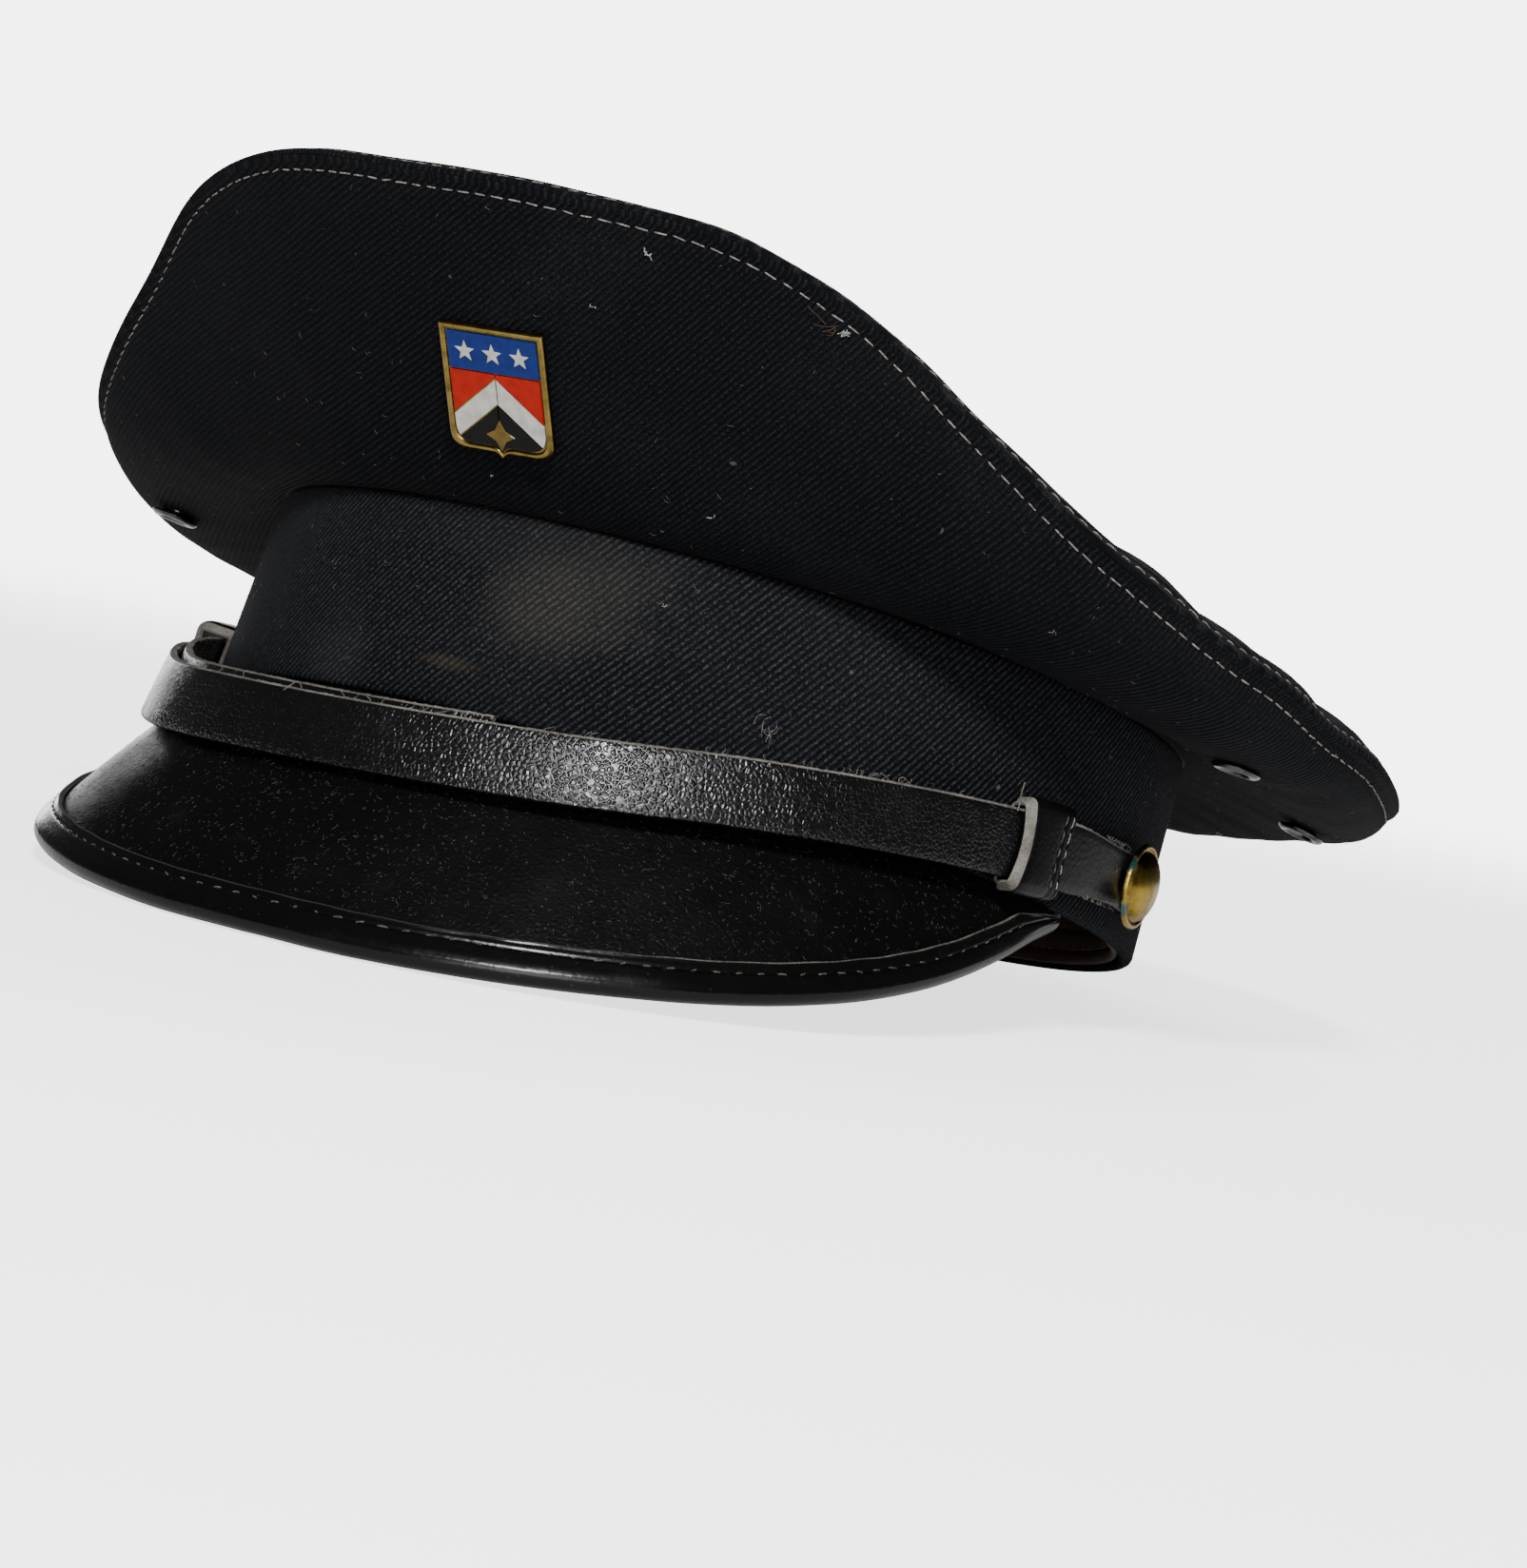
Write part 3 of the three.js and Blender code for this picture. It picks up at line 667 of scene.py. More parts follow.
# The top's rows from its middle (0) to its edge (1), above and then below
TOP_SHARES = np.concatenate([
    np.linspace(0.04, 0.88, 24)[:-1], np.linspace(0.88, 0.94, 5)[:-1], np.linspace(0.94, 0.992, 20)
])[:, None]
TOP_LOW_SHARES = np.array([0.975, 0.94, 0.85, 0.7, 0.5, 0.3, 0.12])[:, None]
# The side panel's rows from the band's seam (0) to the crown's edge (1)
SIDE_SHARES = np.concatenate([
    np.linspace(0, 0.06, 5)[:-1], np.linspace(0.06, 0.88, 30)[:-1], np.linspace(0.88, 1, 16)
])[:, None]
turns = round_angles(COLUMNS)
edge_wave = 0.35 * ripple(turns, 7, 26, 11)


def rib_map(x, y, angle):
    across = y * math.cos(angle) - x * math.sin(angle)
    down = x * math.cos(angle) + y * math.sin(angle)
    return stack(across, down) / RIB_PITCH


# How far round the crown's edge each column lies, stretched to a whole number of stitches
def stitch_run(edge):
    steps = np.linalg.norm(np.roll(edge, -1, 0) - edge, axis=-1)
    run = np.concatenate([[0], np.cumsum(steps)[:-1]])
    return run * round(steps.sum() / PITCH) * PITCH / steps.sum()


# The groove that the edge's stitching pulls in
def stitch_groove(from_edge, run):
    pull = 0.5 + 0.5 * np.cos(2 * math.pi * run / PITCH)
    return (0.16 + 0.18 * pull) * np.exp(-(((from_edge - EDGE_ROW) / 0.7) ** 2))


# A grid's values in each column where a measure along the column comes to a given value
def at_measure(values, measure, value):
    order = slice(None) if measure[-1, 0] > measure[0, 0] else slice(None, None, -1)
    made = np.empty(values.shape[1:])
    for j in range(values.shape[1]):
        for k in range(values.shape[2]):
            made[j, k] = np.interp(value, measure[order, j], values[order, j, k])
    return made


def edge_stitches(name, points, facing, from_edge, seed):
    order = np.append(np.arange(COLUMNS), 0)
    line = at_measure(points, from_edge, EDGE_ROW)[order]
    normals = unit(at_measure(facing, from_edge, EDGE_ROW))[order]
    made = stitches(name, line, normals, EDGE_STITCH, thread_light, seed)
    finish_piece(made, "cloth")


def crown_side():
    t = SIDE_SHARES
    seam, outward, along, corners = side_frame(turns)
    point, slope = side_curve([c[None] for c in corners], t + 0 * turns)
    steps = np.linalg.norm(np.diff(point, axis=0, prepend=point[:1]), axis=-1)
    length = np.cumsum(steps, axis=0)
    from_edge = length[-1] - length
    run = stitch_run(place(seam, outward, point[-1]))
    normal = stack(slope[..., 1], -slope[..., 0])
    folds = 0.3 * ripple(turns, 5, 15, 21) * np.sin(math.pi * t) ** 2
    small = 0.12 * ripple(turns, 20, 60, 22) * np.sin(math.pi * t)
    relief = folds + small - stitch_groove(from_edge, run)
    outer = point + normal * relief[..., None]
    up = stack(-along[:, 1], along[:, 0])
    corner = corners[3] + up * (CLOTH + GAP)
    border = [corner + along * out - up * drop for out, drop in SIDE_BORDER]
    inner = (point[::-3] - normal[::-3] * CLOTH)[1:-1]
    last = [stack(-WALL + 0 * turns, GAP + above) for above in (CLOTH, 0)]
    profile = np.concatenate([outer, border, inner, last])
    # The edge's waves fade out towards the seam, outside and inside
    fade = np.concatenate([
        t[:, 0], np.ones(len(border)), 1 - np.linspace(0, 1, len(inner)), np.zeros(len(last))
    ])
    wave = fade[:, None] ** 3 * edge_wave
    points = place(seam, outward, profile + (along * 0.4 + up) * wave[..., None])
    rest = len(profile) - len(length)
    size = np.concatenate([length, np.repeat(length[-1:], rest, 0), length[:1]])
    size = PATTERN_RADIUS + np.concatenate([size, size[:, :1]], 1)
    turned = np.radians(PATTERN_TURN * np.append(turns, 180))
    uv = rib_map(size * np.sin(turned), size * np.cos(turned), SIDE_RIBS)
    slots = np.arange(len(points))[:, None] >= len(outer) + len(border) - 1
    piece = shell("crown_side_cloth", points, True, [cloth_crown, lining], 60, uv, slots)
    finish_piece(piece, "cloth", "crown_side")
    facing = place(0 * seam, outward, normal)
    edge_stitches("crown_side_stitches", points[: len(outer)], facing, from_edge, 3)


def crown_top():
    u = TOP_SHARES
    radius = edge_radius(turns)
    edge_height = top_height(turns, 1)
    from_edge = radius * (1 - u)
    groove = stitch_groove(from_edge, stitch_run(ring(turns, radius, radius, edge_height)))
    roll = 0.25 * np.exp(-(((from_edge - 3.4) / 1.1) ** 2))
    near_edge = smoothstep(u, 0.55, 0.93)
    tension = 0.35 * ripple(turns, 16, 46, 31) * near_edge * smoothstep(1 - u, 0.0, 0.05)
    soft = 0.5 * ripple(turns, 2, 6, 32) * np.sin(math.pi * u)
    along = top_slope(turns, u)
    rise = tension + soft + roll - groove + edge_wave * u**6
    out = u * radius - along[..., 1] * rise
    upper = ring(turns, out, out, top_height(turns, u) + along[..., 0] * rise)
    rim = top_slope(turns, 1)
    border = []
    for reach, drop in TOP_BORDER:
        r = radius + rim[:, 0] * reach + rim[:, 1] * (drop - edge_wave * 0.7)
        r = r + 0.4 * edge_wave * rim[:, 0]
        z = edge_height + rim[:, 1] * reach - rim[:, 0] * (drop - edge_wave)
        border.append(ring(turns, r, r, z))
    low = TOP_LOW_SHARES
    slope = top_slope(turns, low)
    r = low * radius + slope[..., 1] * CLOTH
    lower = ring(turns, r, r, top_height(turns, low) - slope[..., 0] * CLOTH)
    points = np.concatenate([upper, border, lower])
    rows = len(points)
    hub_top = np.array([[0, 0, top_height(0, 0)]], float)
    flat = np.concatenate([points.reshape(-1, 3), hub_top, hub_top - [0, 0, CLOTH]])
    i, j = cells_of(rows, COLUMNS, False, True)
    here, after = i * COLUMNS + j, i * COLUMNS + (j + 1) % COLUMNS
    faces = np.stack([here, here + COLUMNS, after + COLUMNS, after], -1).tolist()
    slots = (i >= len(upper) + len(border) - 1).tolist()
    start = (rows - 1) * COLUMNS
    for k in range(COLUMNS):
        after = (k + 1) % COLUMNS
        faces.append([rows * COLUMNS, k, after])
        faces.append([rows * COLUMNS + 1, start + after, start + k])
        slots += [0, 1]
    loops = flat[[k for face in faces for k in face]]
    uv = rib_map(loops[:, 0], loops[:, 1], TOP_RIBS)
    piece = build("crown_top_cloth", flat, faces, [cloth_crown, lining], 60, uv, slots)
    finish_piece(piece, "cloth", "crown_top")
    facing = ring(turns, -along[..., 1], -along[..., 1], along[..., 0])
    edge_stitches("crown_top_stitches", upper, facing, from_edge, 4)


# Band, with the twill's ribs at a steady angle
BAND_RIBS = math.radians(54)
BAND_RIB_PITCH = 1.15
# The band's lower and upper edges: how far out, and how far up or down from the edge
BAND_FOOT = [(-1.9, 0.0), (-1.2, 0.02), (-0.6, 0.2), (-0.2, 0.55)]
BAND_HEAD = [(-0.25, 0.4), (-0.8, 0.08), (-1.6, 0.0), (-2.3, 0.1)]


def band():
    a = round_angles(720)
    top = round_the_band(a, SEAM_HEIGHTS)
    rows = [band_point(a, up, out) for out, up in BAND_FOOT]
    low, high = 1.2, top - 1.0
    for share in np.linspace(0, 1, 26):
        soft = 0.22 * ripple(a, 4, 14, 41) * math.sin(math.pi * share)
        rows.append(band_point(a, low + (high - low) * share, soft))
    rows += [band_point(a, top - down, out) for out, down in BAND_HEAD]
    for share in [1.0, 0.75, 0.5, 0.25]:
        rows.append(band_point(a, 0.8 + (top - 1.6) * share, -WALL))
    rows.append(band_point(a, 0.4, -WALL))
    points = np.stack(rows)
    middle = band_point(a, 18, 0)
    steps = np.linalg.norm(np.roll(middle, -1, 0) - middle, axis=-1)
    run = np.concatenate([[0], np.cumsum(steps)])
    height = np.concatenate([points[..., 2], points[:1, :, 2]])
    height = np.concatenate([height, height[:, :1]], 1)
    # The ribs are fitted so that a whole number of them goes round
    ribs = run[-1] * math.sin(BAND_RIBS) / BAND_RIB_PITCH
    across = run * math.sin(BAND_RIBS) * (round(ribs) / ribs) - height * math.cos(BAND_RIBS)
    down = run * math.cos(BAND_RIBS) + height * math.sin(BAND_RIBS)
    uv = stack(across, down) / BAND_RIB_PITCH
    piece = shell("band_cloth", points, True, [cloth_band], 60, uv)
    finish_piece(piece, "cloth", "band")


# The sweatband's rolled lower edge and its thin upper edge: how far out, and how far up
SWEATBAND_FOOT = [(-2.9, 1.6), (-3.1, 0.95), (-3.7, 0.75), (-4.3, 1.1), (-4.5, 1.9), (-4.3, 2.8)]
SWEATBAND_HEAD = [(0.0, 0.0), (0.25, 0.5), (0.7, 0.6), (1.0, 0.2)]
SWEATBAND_HEIGHTS = [3.4, 3.8, 4.4, 6.0, 7.6, 8.0, 8.4, 12.0, 16.0, 20.0, 24.0, 27.0]
# Its two stitch rows: name, height, seed
SWEATBAND_ROWS = [("sweatband_stitches", 3.8, 5), ("sweatband_upper_stitches", 8.0, 6)]


def sweatband():
    a = round_angles(480)
    outside = -WALL - GAP
    inner = outside - 1.2
    sway = 0.5 * ripple(a, 4, 11, 51)
    top = 29.4 + 0.4 * ripple(a, 5, 13, 52)
    rows = [band_point(a, up, out) for out, up in SWEATBAND_FOOT]
    for up in SWEATBAND_HEIGHTS:
        dent = 0.25 if up in (3.8, 8.0) else 0.0
        pushed_in = np.maximum(sway * smoothstep(up, 8, 30), 0)
        rows.append(band_point(a, up, inner + dent - pushed_in))
    for out, up in SWEATBAND_HEAD:
        rows.append(band_point(a, top + up, inner + out - np.maximum(sway, 0)))
    for up in [24.0, 16.0, 8.0, 4.0]:
        rows.append(band_point(a, up, outside))
    piece = shell("sweatband_skin", np.stack(rows), True, [leather_sweat], 60)
    finish_piece(piece, "sweatband_leather", "sweatband")
    closed = np.append(a, 180)
    for name, up, seed in SWEATBAND_ROWS:
        line = band_point(closed, up, inner + 0.2)
        normals = -band_outward(closed)
        made = stitches(name, line, normals, SWEATBAND_STITCH, thread_brown, seed)
        finish_piece(made, "sweatband_leather")


# Peak
def peak_section(angle):
    reach = between(PEAK_EDGE, 1, np.abs(angle))
    drop = between(PEAK_EDGE, 2, np.abs(angle))
    root = band_point(angle, 0.0, 0)
    root[..., 2] = -GAP
    outward = band_outward(angle)
    edge = root + outward * reach[..., None]
    edge[..., 2] = -drop
    down = edge - root
    length = np.linalg.norm(down, axis=-1)
    down = down / length[..., None]
    flat = (down * outward).sum(-1)
    normal = outward * -down[..., 2:] + stack(0, 0, flat)
    return root, length, down, normal


def peak_bulge(along, length, angle):
    return 0.9 * np.sin(math.pi * np.clip(along / length, 0, 1)) * np.cos(np.radians(angle)) ** 0.5


# The peak at a number of angles, closer together towards its tips. It gives the angles, how far
# down the binding's inner edge and the peak's own edge lie, the normals, and a function for points
# so far down the peak and so deep under its bulged surface.
def peak_columns(count):
    a = PEAK_TIP * np.sin(np.linspace(-1, 1, count) * math.pi / 2)
    root, length, down, normal = peak_section(a)
    end = length - BEAD
    leaf = np.maximum(end - LEAF, end * 0.45)

    def point(along, depth):
        rise = peak_bulge(along, length, a)
        return root + down * along[:, None] + normal * (rise - depth)[:, None]

    return a, leaf, end, normal, point


def peak():
    a, leaf, end, _, point = peak_columns(300)
    rows = []
    for share in np.linspace(0, 1, 16):
        uneven = 0.06 * ripple(a * 3, 3, 12, 61) * math.sin(math.pi * share)
        rows.append(point(leaf * share, -uneven))
    rows.append(point(end, 0.0))
    rows.append(point(end, PEAK_THICKNESS))
    for share in [1.0, 0.75, 0.5, 0.25, 0.1]:
        rows.append(point(np.maximum(leaf * share, np.minimum(1.5, leaf / 3)), PEAK_THICKNESS))
    inside = band_point(a, 0.0, -WALL)
    inside[:, 2] = -GAP
    rows.append(inside)
    piece = shell("peak_skin", np.stack(rows), False, [leather_peak], 50)
    finish_piece(piece, "peak_leather", "peak")


# The binding's raised lip: how far from the leaf's inner edge, and how high as shares of the lip
BINDING_LIP = [(0.0, -0.5), (0.02, 0.3), (0.12, 0.9), (0.34, 1.0), (0.52, 0.5), (0.7, 0.0)]
WORN_ROWS = 3


# The binding: a strip folded round the peak's edge, its inner edge raised and worn light
def peak_binding():
    a, leaf, end, normal, point = peak_columns(420)
    out = GAP + LEATHER
    wide = end - leaf
    uneven = 0.08 * ripple(a * 2, 9, 40, 62)
    lip = 0.12 + 0.05 * ripple(a * 2, 12, 44, 64)
    rows = [point(leaf + along + uneven, -out - lip * lift) for along, lift in BINDING_LIP]
    rows[0] = point(leaf + uneven, -GAP)
    seam = wide * (0.34 + 0.16 * smoothstep(a, 10, 60))
    for away in [-1.0, -0.6, -0.35, -0.15, 0.0, 0.15, 0.35, 0.6, 1.0]:
        dent = 0.2 * math.exp(-((away / 0.28) ** 2))
        rows.append(point(leaf + np.maximum(seam + away, 0.75 + 0.01 * away), dent - out))
    for share in [0.8, 0.95]:
        rows.append(point(leaf + wide * share, -out))
    middle = PEAK_THICKNESS / 2
    nose = (BEAD + 0.05) * (1 + 0.01 * ripple(a, 20, 50, 63))
    for turn in np.radians(np.linspace(-90, 90, 15)):
        rows.append(point(end + nose * math.cos(turn) - 0.05, middle + nose * math.sin(turn)))
    for share, drop in [(0.66, 0.9), (0.4, 1.0), (0.05, 0.95)]:
        rows.append(point(leaf + wide * share, PEAK_THICKNESS + out * drop))
    rows.append(point(leaf, PEAK_THICKNESS + GAP))
    rows.append(point(end + GAP, PEAK_THICKNESS + GAP))
    rows.append(point(end + GAP, -GAP))
    points = np.stack(rows)
    slots = np.arange(len(points))[:, None] < WORN_ROWS
    piece = shell(
        "peak_binding_skin", points, False, [leather_binding, edge_worn], 50, slots=slots
    )
    finish_piece(piece, "binding_leather", "peak_binding")
    inside = np.abs(a) < 76
    line = point(leaf + seam, 0.16 - out)[inside]
    made = stitches(
        "peak_stitches", line, normal[inside], PEAK_STITCH, thread_peak, 7, 0.06, 0.25
    )
    finish_piece(made, "binding_leather")


# Fine dust and hairs that lie on the peak, fewer where it is narrow
PEAK_HAIRS = 2600


def peak_dust():
    source = np.random.default_rng(71)
    lines, radii = [], []
    while len(lines) < PEAK_HAIRS:
        angle = source.uniform(-66, 72, 1)
        root, length, down, normal = peak_section(angle)
        share = source.uniform(0.04, 1)
        size = source.uniform(0.2, 0.6) * source.uniform(1, 1.9)
        turn = source.uniform(0, 2 * math.pi)
        bend = source.normal() * 0.9
        reach = (length - BEAD - LEAF - 0.4)[0]
        if reach < source.uniform(3, 50):
            continue
        across = np.cross(down, normal)
        line = []
        for step in (-0.5, -0.2, 0.15, 0.5):
            spin = turn + bend * step
            u = share * reach + size * step * math.cos(spin)
            rise = peak_bulge(np.clip(u, 0, reach), length, angle)[0] + 0.05
            aside = across * size * step * math.sin(spin)
            line.append((root + down * u + normal * rise + aside)[0])
        lines.append(line)
        radii.append(source.uniform(0.02, 0.036))
    finish_piece(strands("peak_dust", lines, radii, peak_lint, 3, 1), "peak_leather")


# Chin strap: a function for points of a layer at some angles, so far up from its middle line and
# so far proud of it, and the layer's outward directions there
def strap_frame(angle, layer):
    angle = np.asarray(angle, float)
    height = between(STRAP_ROUTE, 1, angle)
    outer = layer == "outer"
    rise = 0.0 if outer else INNER_RISE
    stacked = (STRAP_THICKNESS + LAYER_GAP) * smoothstep(60 - angle, 0, 45) if outer else 0.0
    standoff = between(STRAP_ROUTE, 2, angle) + stacked
    lean = math.radians(10) * smoothstep(90 - np.abs(angle), 0, 50)
    outward = band_outward(angle)
    wall_lean = round_the_band(angle, BAND_LEANS) * np.maximum(height, 0)
    wall_lean = wall_lean / round_the_band(angle, SEAM_HEIGHTS)
    middle = band_point(angle, 0.0, standoff - wall_lean)
    middle[..., 2] = height
    across = outward * -np.sin(lean)[..., None] + stack(0, 0, np.cos(lean))
    out = outward * np.cos(lean)[..., None] + stack(0, 0, np.sin(lean))

    def point(up, proud):
        up, proud = np.broadcast_arrays(np.asarray(up, float), np.asarray(proud, float))
        return middle + across * (up + rise)[..., None] + out * proud[..., None]

    return point, out


def strap_layer(name, layer, start, stop, replaced, curl_at=None):
    count = int(abs(stop - start) * 3)
    a = np.linspace(start, stop, count)
    point, _ = strap_frame(a, layer)
    half = STRAP_WIDTH / 2 * (1 - 0.17 * smoothstep(np.abs(a), 79, 90))
    deep = STRAP_THICKNESS / 2
    fray = np.random.default_rng(len(name)).normal(size=(4, count)) * 0.05
    curl = 0 * a
    if curl_at is not None:
        curl = 1.3 * np.exp(-(((a - curl_at) / 3.2) ** 2))
    profile = []
    for up in np.linspace(0.92, -0.92, 9):
        crown = 0.10 * (1 - up * up)
        bend = curl * smoothstep(-up, 0.2, 1.0)
        profile.append(point(half * up, deep + crown - 0.1 + bend))
    # The cut edges: how far up as a share of the half width, and how proud
    edge = [(0.985, deep - 0.22), (1.0, 0.3), (1.0, -0.35), (0.975, -deep + 0.15)]
    for k, (up, proud) in enumerate(edge):
        profile.append(point(half * -up + fray[k], proud + curl))
    for up in np.linspace(-0.9, 0.9, 5):
        profile.append(point(half * up, -deep + curl * smoothstep(-up, 0.2, 1.0)))
    for k, (up, proud) in reversed(list(enumerate(edge))):
        profile.append(point(half * up + fray[k], proud))
    points = np.stack(profile)
    # The upper edge is raw all along, the lower one only near the strap's ends; elsewhere the lower
    # cut edge is given the strap's black leather as painted shade.
    i = np.arange(len(points))[:, None]
    raw = ((i >= 9) & (i < 12) & (np.abs(a) > 80)) | (i >= 19)
    slots = np.where(raw, 1, np.where(a > 78, 2, 0))
    materials = [leather_strap, edge_thin, leather_keeper]
    piece = shell(name, points, False, materials, 35, slots=slots, cap=1)
    finish_piece(piece, "strap_leather", replaced)


# A keeper: a thick strip of leather round the strap. Its near end is cut at a slant and shows the
# raw leather, and its far end is stitched.
KEEPER_LENGTH = 13
KEEPER_LEATHER = 1.6
KEEPER_SLACK = 0.4
KEEPER_HOLLOW = 0.1
KEEPER_CORNER = 0.2
# Along the keeper: how far along as a share of its length, and the skin's height outside and inside
KEEPER_OUTER = [
    (0.09, 0.55), (0.13, 0.93), (0.18, 1.06), (0.3, 1.1), (0.5, 1.08), (0.66, 1.05), (0.72, 1.0),
    (0.76, 0.9), (0.8, 1.0), (0.85, 1.02), (0.9, 0.86), (0.94, 0.95), (0.98, 0.9), (1.0, 0.7),
]
KEEPER_INNER = [(1.0, 0.05), (0.5, 0.05), (0.03, 0.05), (0.0, 0.25)]
# Its stitch rows: name, how far along as a share of its length, thread
KEEPER_ROWS = [("near", 0.76, thread_peak), ("far", 0.9, thread_light)]


def keeper(name, angle, layers, replaced, toward):
    span = toward * math.degrees(KEEPER_LENGTH / HALF_LENGTH)
    depth = layers * STRAP_THICKNESS + (layers - 1) * LAYER_GAP
    high = STRAP_WIDTH / 2 + (INNER_RISE if layers > 1 else 0) + KEEPER_SLACK
    low = -STRAP_WIDTH / 2 - KEEPER_SLACK
    face = STRAP_THICKNESS / 2 + KEEPER_SLACK
    back = face - depth - 2 * KEEPER_SLACK
    small = KEEPER_CORNER
    loop = []
    for up, out, start in [(high, face, 90), (low, face, 0), (low, back, -90), (high, back, 180)]:
        if start == 0:
            loop += [(high + (low - high) * k / 6, face - small, 0.0, 1.0) for k in range(1, 6)]
        inset_up = up - math.copysign(small, up)
        inset_out = out - (small if out == face else -small)
        for turn in np.radians(np.linspace(start, start - 90, 7)):
            loop.append((inset_up, inset_out, math.sin(turn), math.cos(turn)))
    up, out, dx, dy = np.array(loop).T
    # The cut end is hollow: its middle lies further along the strap than its top and bottom
    across = math.pi * (up - low) / (high - low) - math.pi / 2
    middle = np.where(dy > 0.99, np.cos(across), 0) ** 0.8
    # Thicker where it faces out than where it lies on the band
    thick = KEEPER_LEATHER * np.where(dy > -0.5, 1.35, 1.0)
    points = []
    for share, height in KEEPER_OUTER + KEEPER_INNER:
        along = share + KEEPER_HOLLOW * middle * max(0.0, 1 - share / 0.4)
        point, _ = strap_frame(angle + span * (0.5 - along), "outer")
        distance = small + (thick - small) * height
        points.append(point(up + dx * distance, out + dy * distance))
    points = np.array(points)
    # Raw leather shows at the near end, and at the far end's edge
    i = np.arange(len(points))[:, None]
    slots = (i >= len(points) - 2) | (i == 0) | (i == len(KEEPER_OUTER) - 1)
    piece = shell(name, points, True, [leather_keeper, edge_grey], 40, slots=slots)
    finish_piece(piece, "strap_leather", replaced)
    ups = np.linspace(low - 0.5, high + 0.5, 24)
    for word, share, fibre in KEEPER_ROWS:
        point, out = strap_frame(np.array([angle + span * (0.5 - share)]), "outer")
        line = point(ups, face + KEEPER_LEATHER * 1.2)
        normals = np.repeat(out, len(ups), 0)
        made = stitches(f"{name}_{word}_stitches", line, normals, KEEPER_STITCH, fibre, 8)
        finish_piece(made, "strap_leather")


# Turned pieces: a section of radius and height, placed on an axis
BUTTON = [
    (0.05, 0.0), (2.2, 0.0), (2.2, 0.4), (7.2, 0.35), (7.7, 0.42), (7.98, 0.66), (8.0, 1.0),
    (7.85, 1.35), (7.5, 1.52), (7.15, 1.45), (6.95, 1.15), (6.8, 1.12), (6.62, 1.45), (6.2, 2.05),
    (5.5, 2.66), (4.4, 3.24), (3.2, 3.64), (1.8, 3.9), (0.7, 3.99), (0.05, 4.0),
]
EYELET = [
    (2.2, -1.9), (2.65, -1.9), (2.7, -0.2), (3.2, 0.3), (4.3, 0.45), (4.6, 0.62), (4.62, 0.8),
    (4.45, 1.05), (4.0, 1.34), (3.4, 1.42), (2.8, 1.3), (2.4, 1.0), (2.2, 0.5),
]
# The verdigris on a button: aside, along, up, and how far proud of its back
BUTTON_SPOTS = [(0.0, -7.5, 3.0, 1.5), (0.0, -5.5, -5.5, 1.0)]


def turned(name, profile, at, normal, material, segments):
    normal = unit(np.asarray(normal, float))
    side = unit(np.cross(normal, [0.0, 0.0, 1.0]))
    up = np.cross(side, normal)
    angle = np.arange(segments)[:, None] * 2 * math.pi / segments
    rows = []
    for radius, height in profile:
        aside = side * (radius * np.cos(angle))
        rows.append(at + normal * height + aside + up * (radius * np.sin(angle)))
    return shell(name, np.stack(rows), True, [material], 40)


def buttons():
    for word, sign, layer in [("left", 1, "outer"), ("right", -1, "inner")]:
        a = np.array([sign * BUTTON_ANGLE], float)
        point, _ = strap_frame(a, layer)
        at = point(0, STRAP_THICKNESS / 2 + GAP)[0]
        normal = band_outward(a)[0]
        spots = [lay_down(at + np.array(s[:3]) + normal * s[3]).tolist() for s in BUTTON_SPOTS]
        brass = metal(
            f"button_brass_{word}", (0.34, 0.235, 0.045), (0.15, 0.095, 0.018), 0.24, spots
        )
        piece = turned(f"button_{word}_brass", BUTTON, at, normal, brass, 64)
        finish_piece(piece, "button_brass", f"button_{word}")


# Eyelets in the crown's side panel: name, angle, share of the way from the seam to the edge
EYELETS = [
    ("eyelet_left_front", 86, 0.46), ("eyelet_left_rear", 122, 0.5),
    ("eyelet_right_front", -75, 0.52), ("eyelet_right_rear", -112, 0.5),
]


# A point of the side panel, so far proud of it, with the directions outward and up the panel there
def side_surface(angle, share, proud=0.0):
    seam, outward, _, corners = side_frame(np.array([angle], float))
    point, slope = side_curve(corners, np.array([share]))
    normal = stack(slope[..., 1], -slope[..., 0])
    at = place(seam, outward, point + normal * proud)[0]
    out = place(0 * seam, outward, normal)[0]
    up = place(0 * seam, outward, slope)[0]
    return at, out, up


def eyelets():
    steel = metal("eyelet_metal", (0.11, 0.11, 0.113), (0.035, 0.035, 0.036), 0.2)
    for name, angle, share in EYELETS:
        at, out, _ = side_surface(angle, share)
        piece = turned(f"{name}_ring", EYELET, at, out, steel, 48)
        finish_piece(piece, "eyelet_metal", name)


# Badge: a gilt shield with a raised rim, and enamel cells between thin gilt lines
BADGE_WIDTH = 20.6
BADGE_HEIGHT = 25.0
BADGE_ASIDE = 9.0
BADGE_ALONG = 0.492
BADGE_TURN = math.radians(2.4)
PLATE = 0.8
CELL_INSET = 1.45
LINE_WIDTH = 0.28
# The plate's section: how far in from its outline, and how high
BADGE_RIM = [
    (0.3, 0.0), (0.08, 0.08), (0.0, 0.3), (0.0, 0.75), (0.08, 1.05), (0.3, 1.24), (0.6, 1.3),
    (0.9, 1.24), (1.12, 1.05), (1.22, PLATE),
]
# Its fields: the chief's height, and the chevron's slope, its apex below the chief and its width
CHIEF = 7.0
ROOF = 0.85
APEX_DROP = 1.2
CHEVRON = 4.6
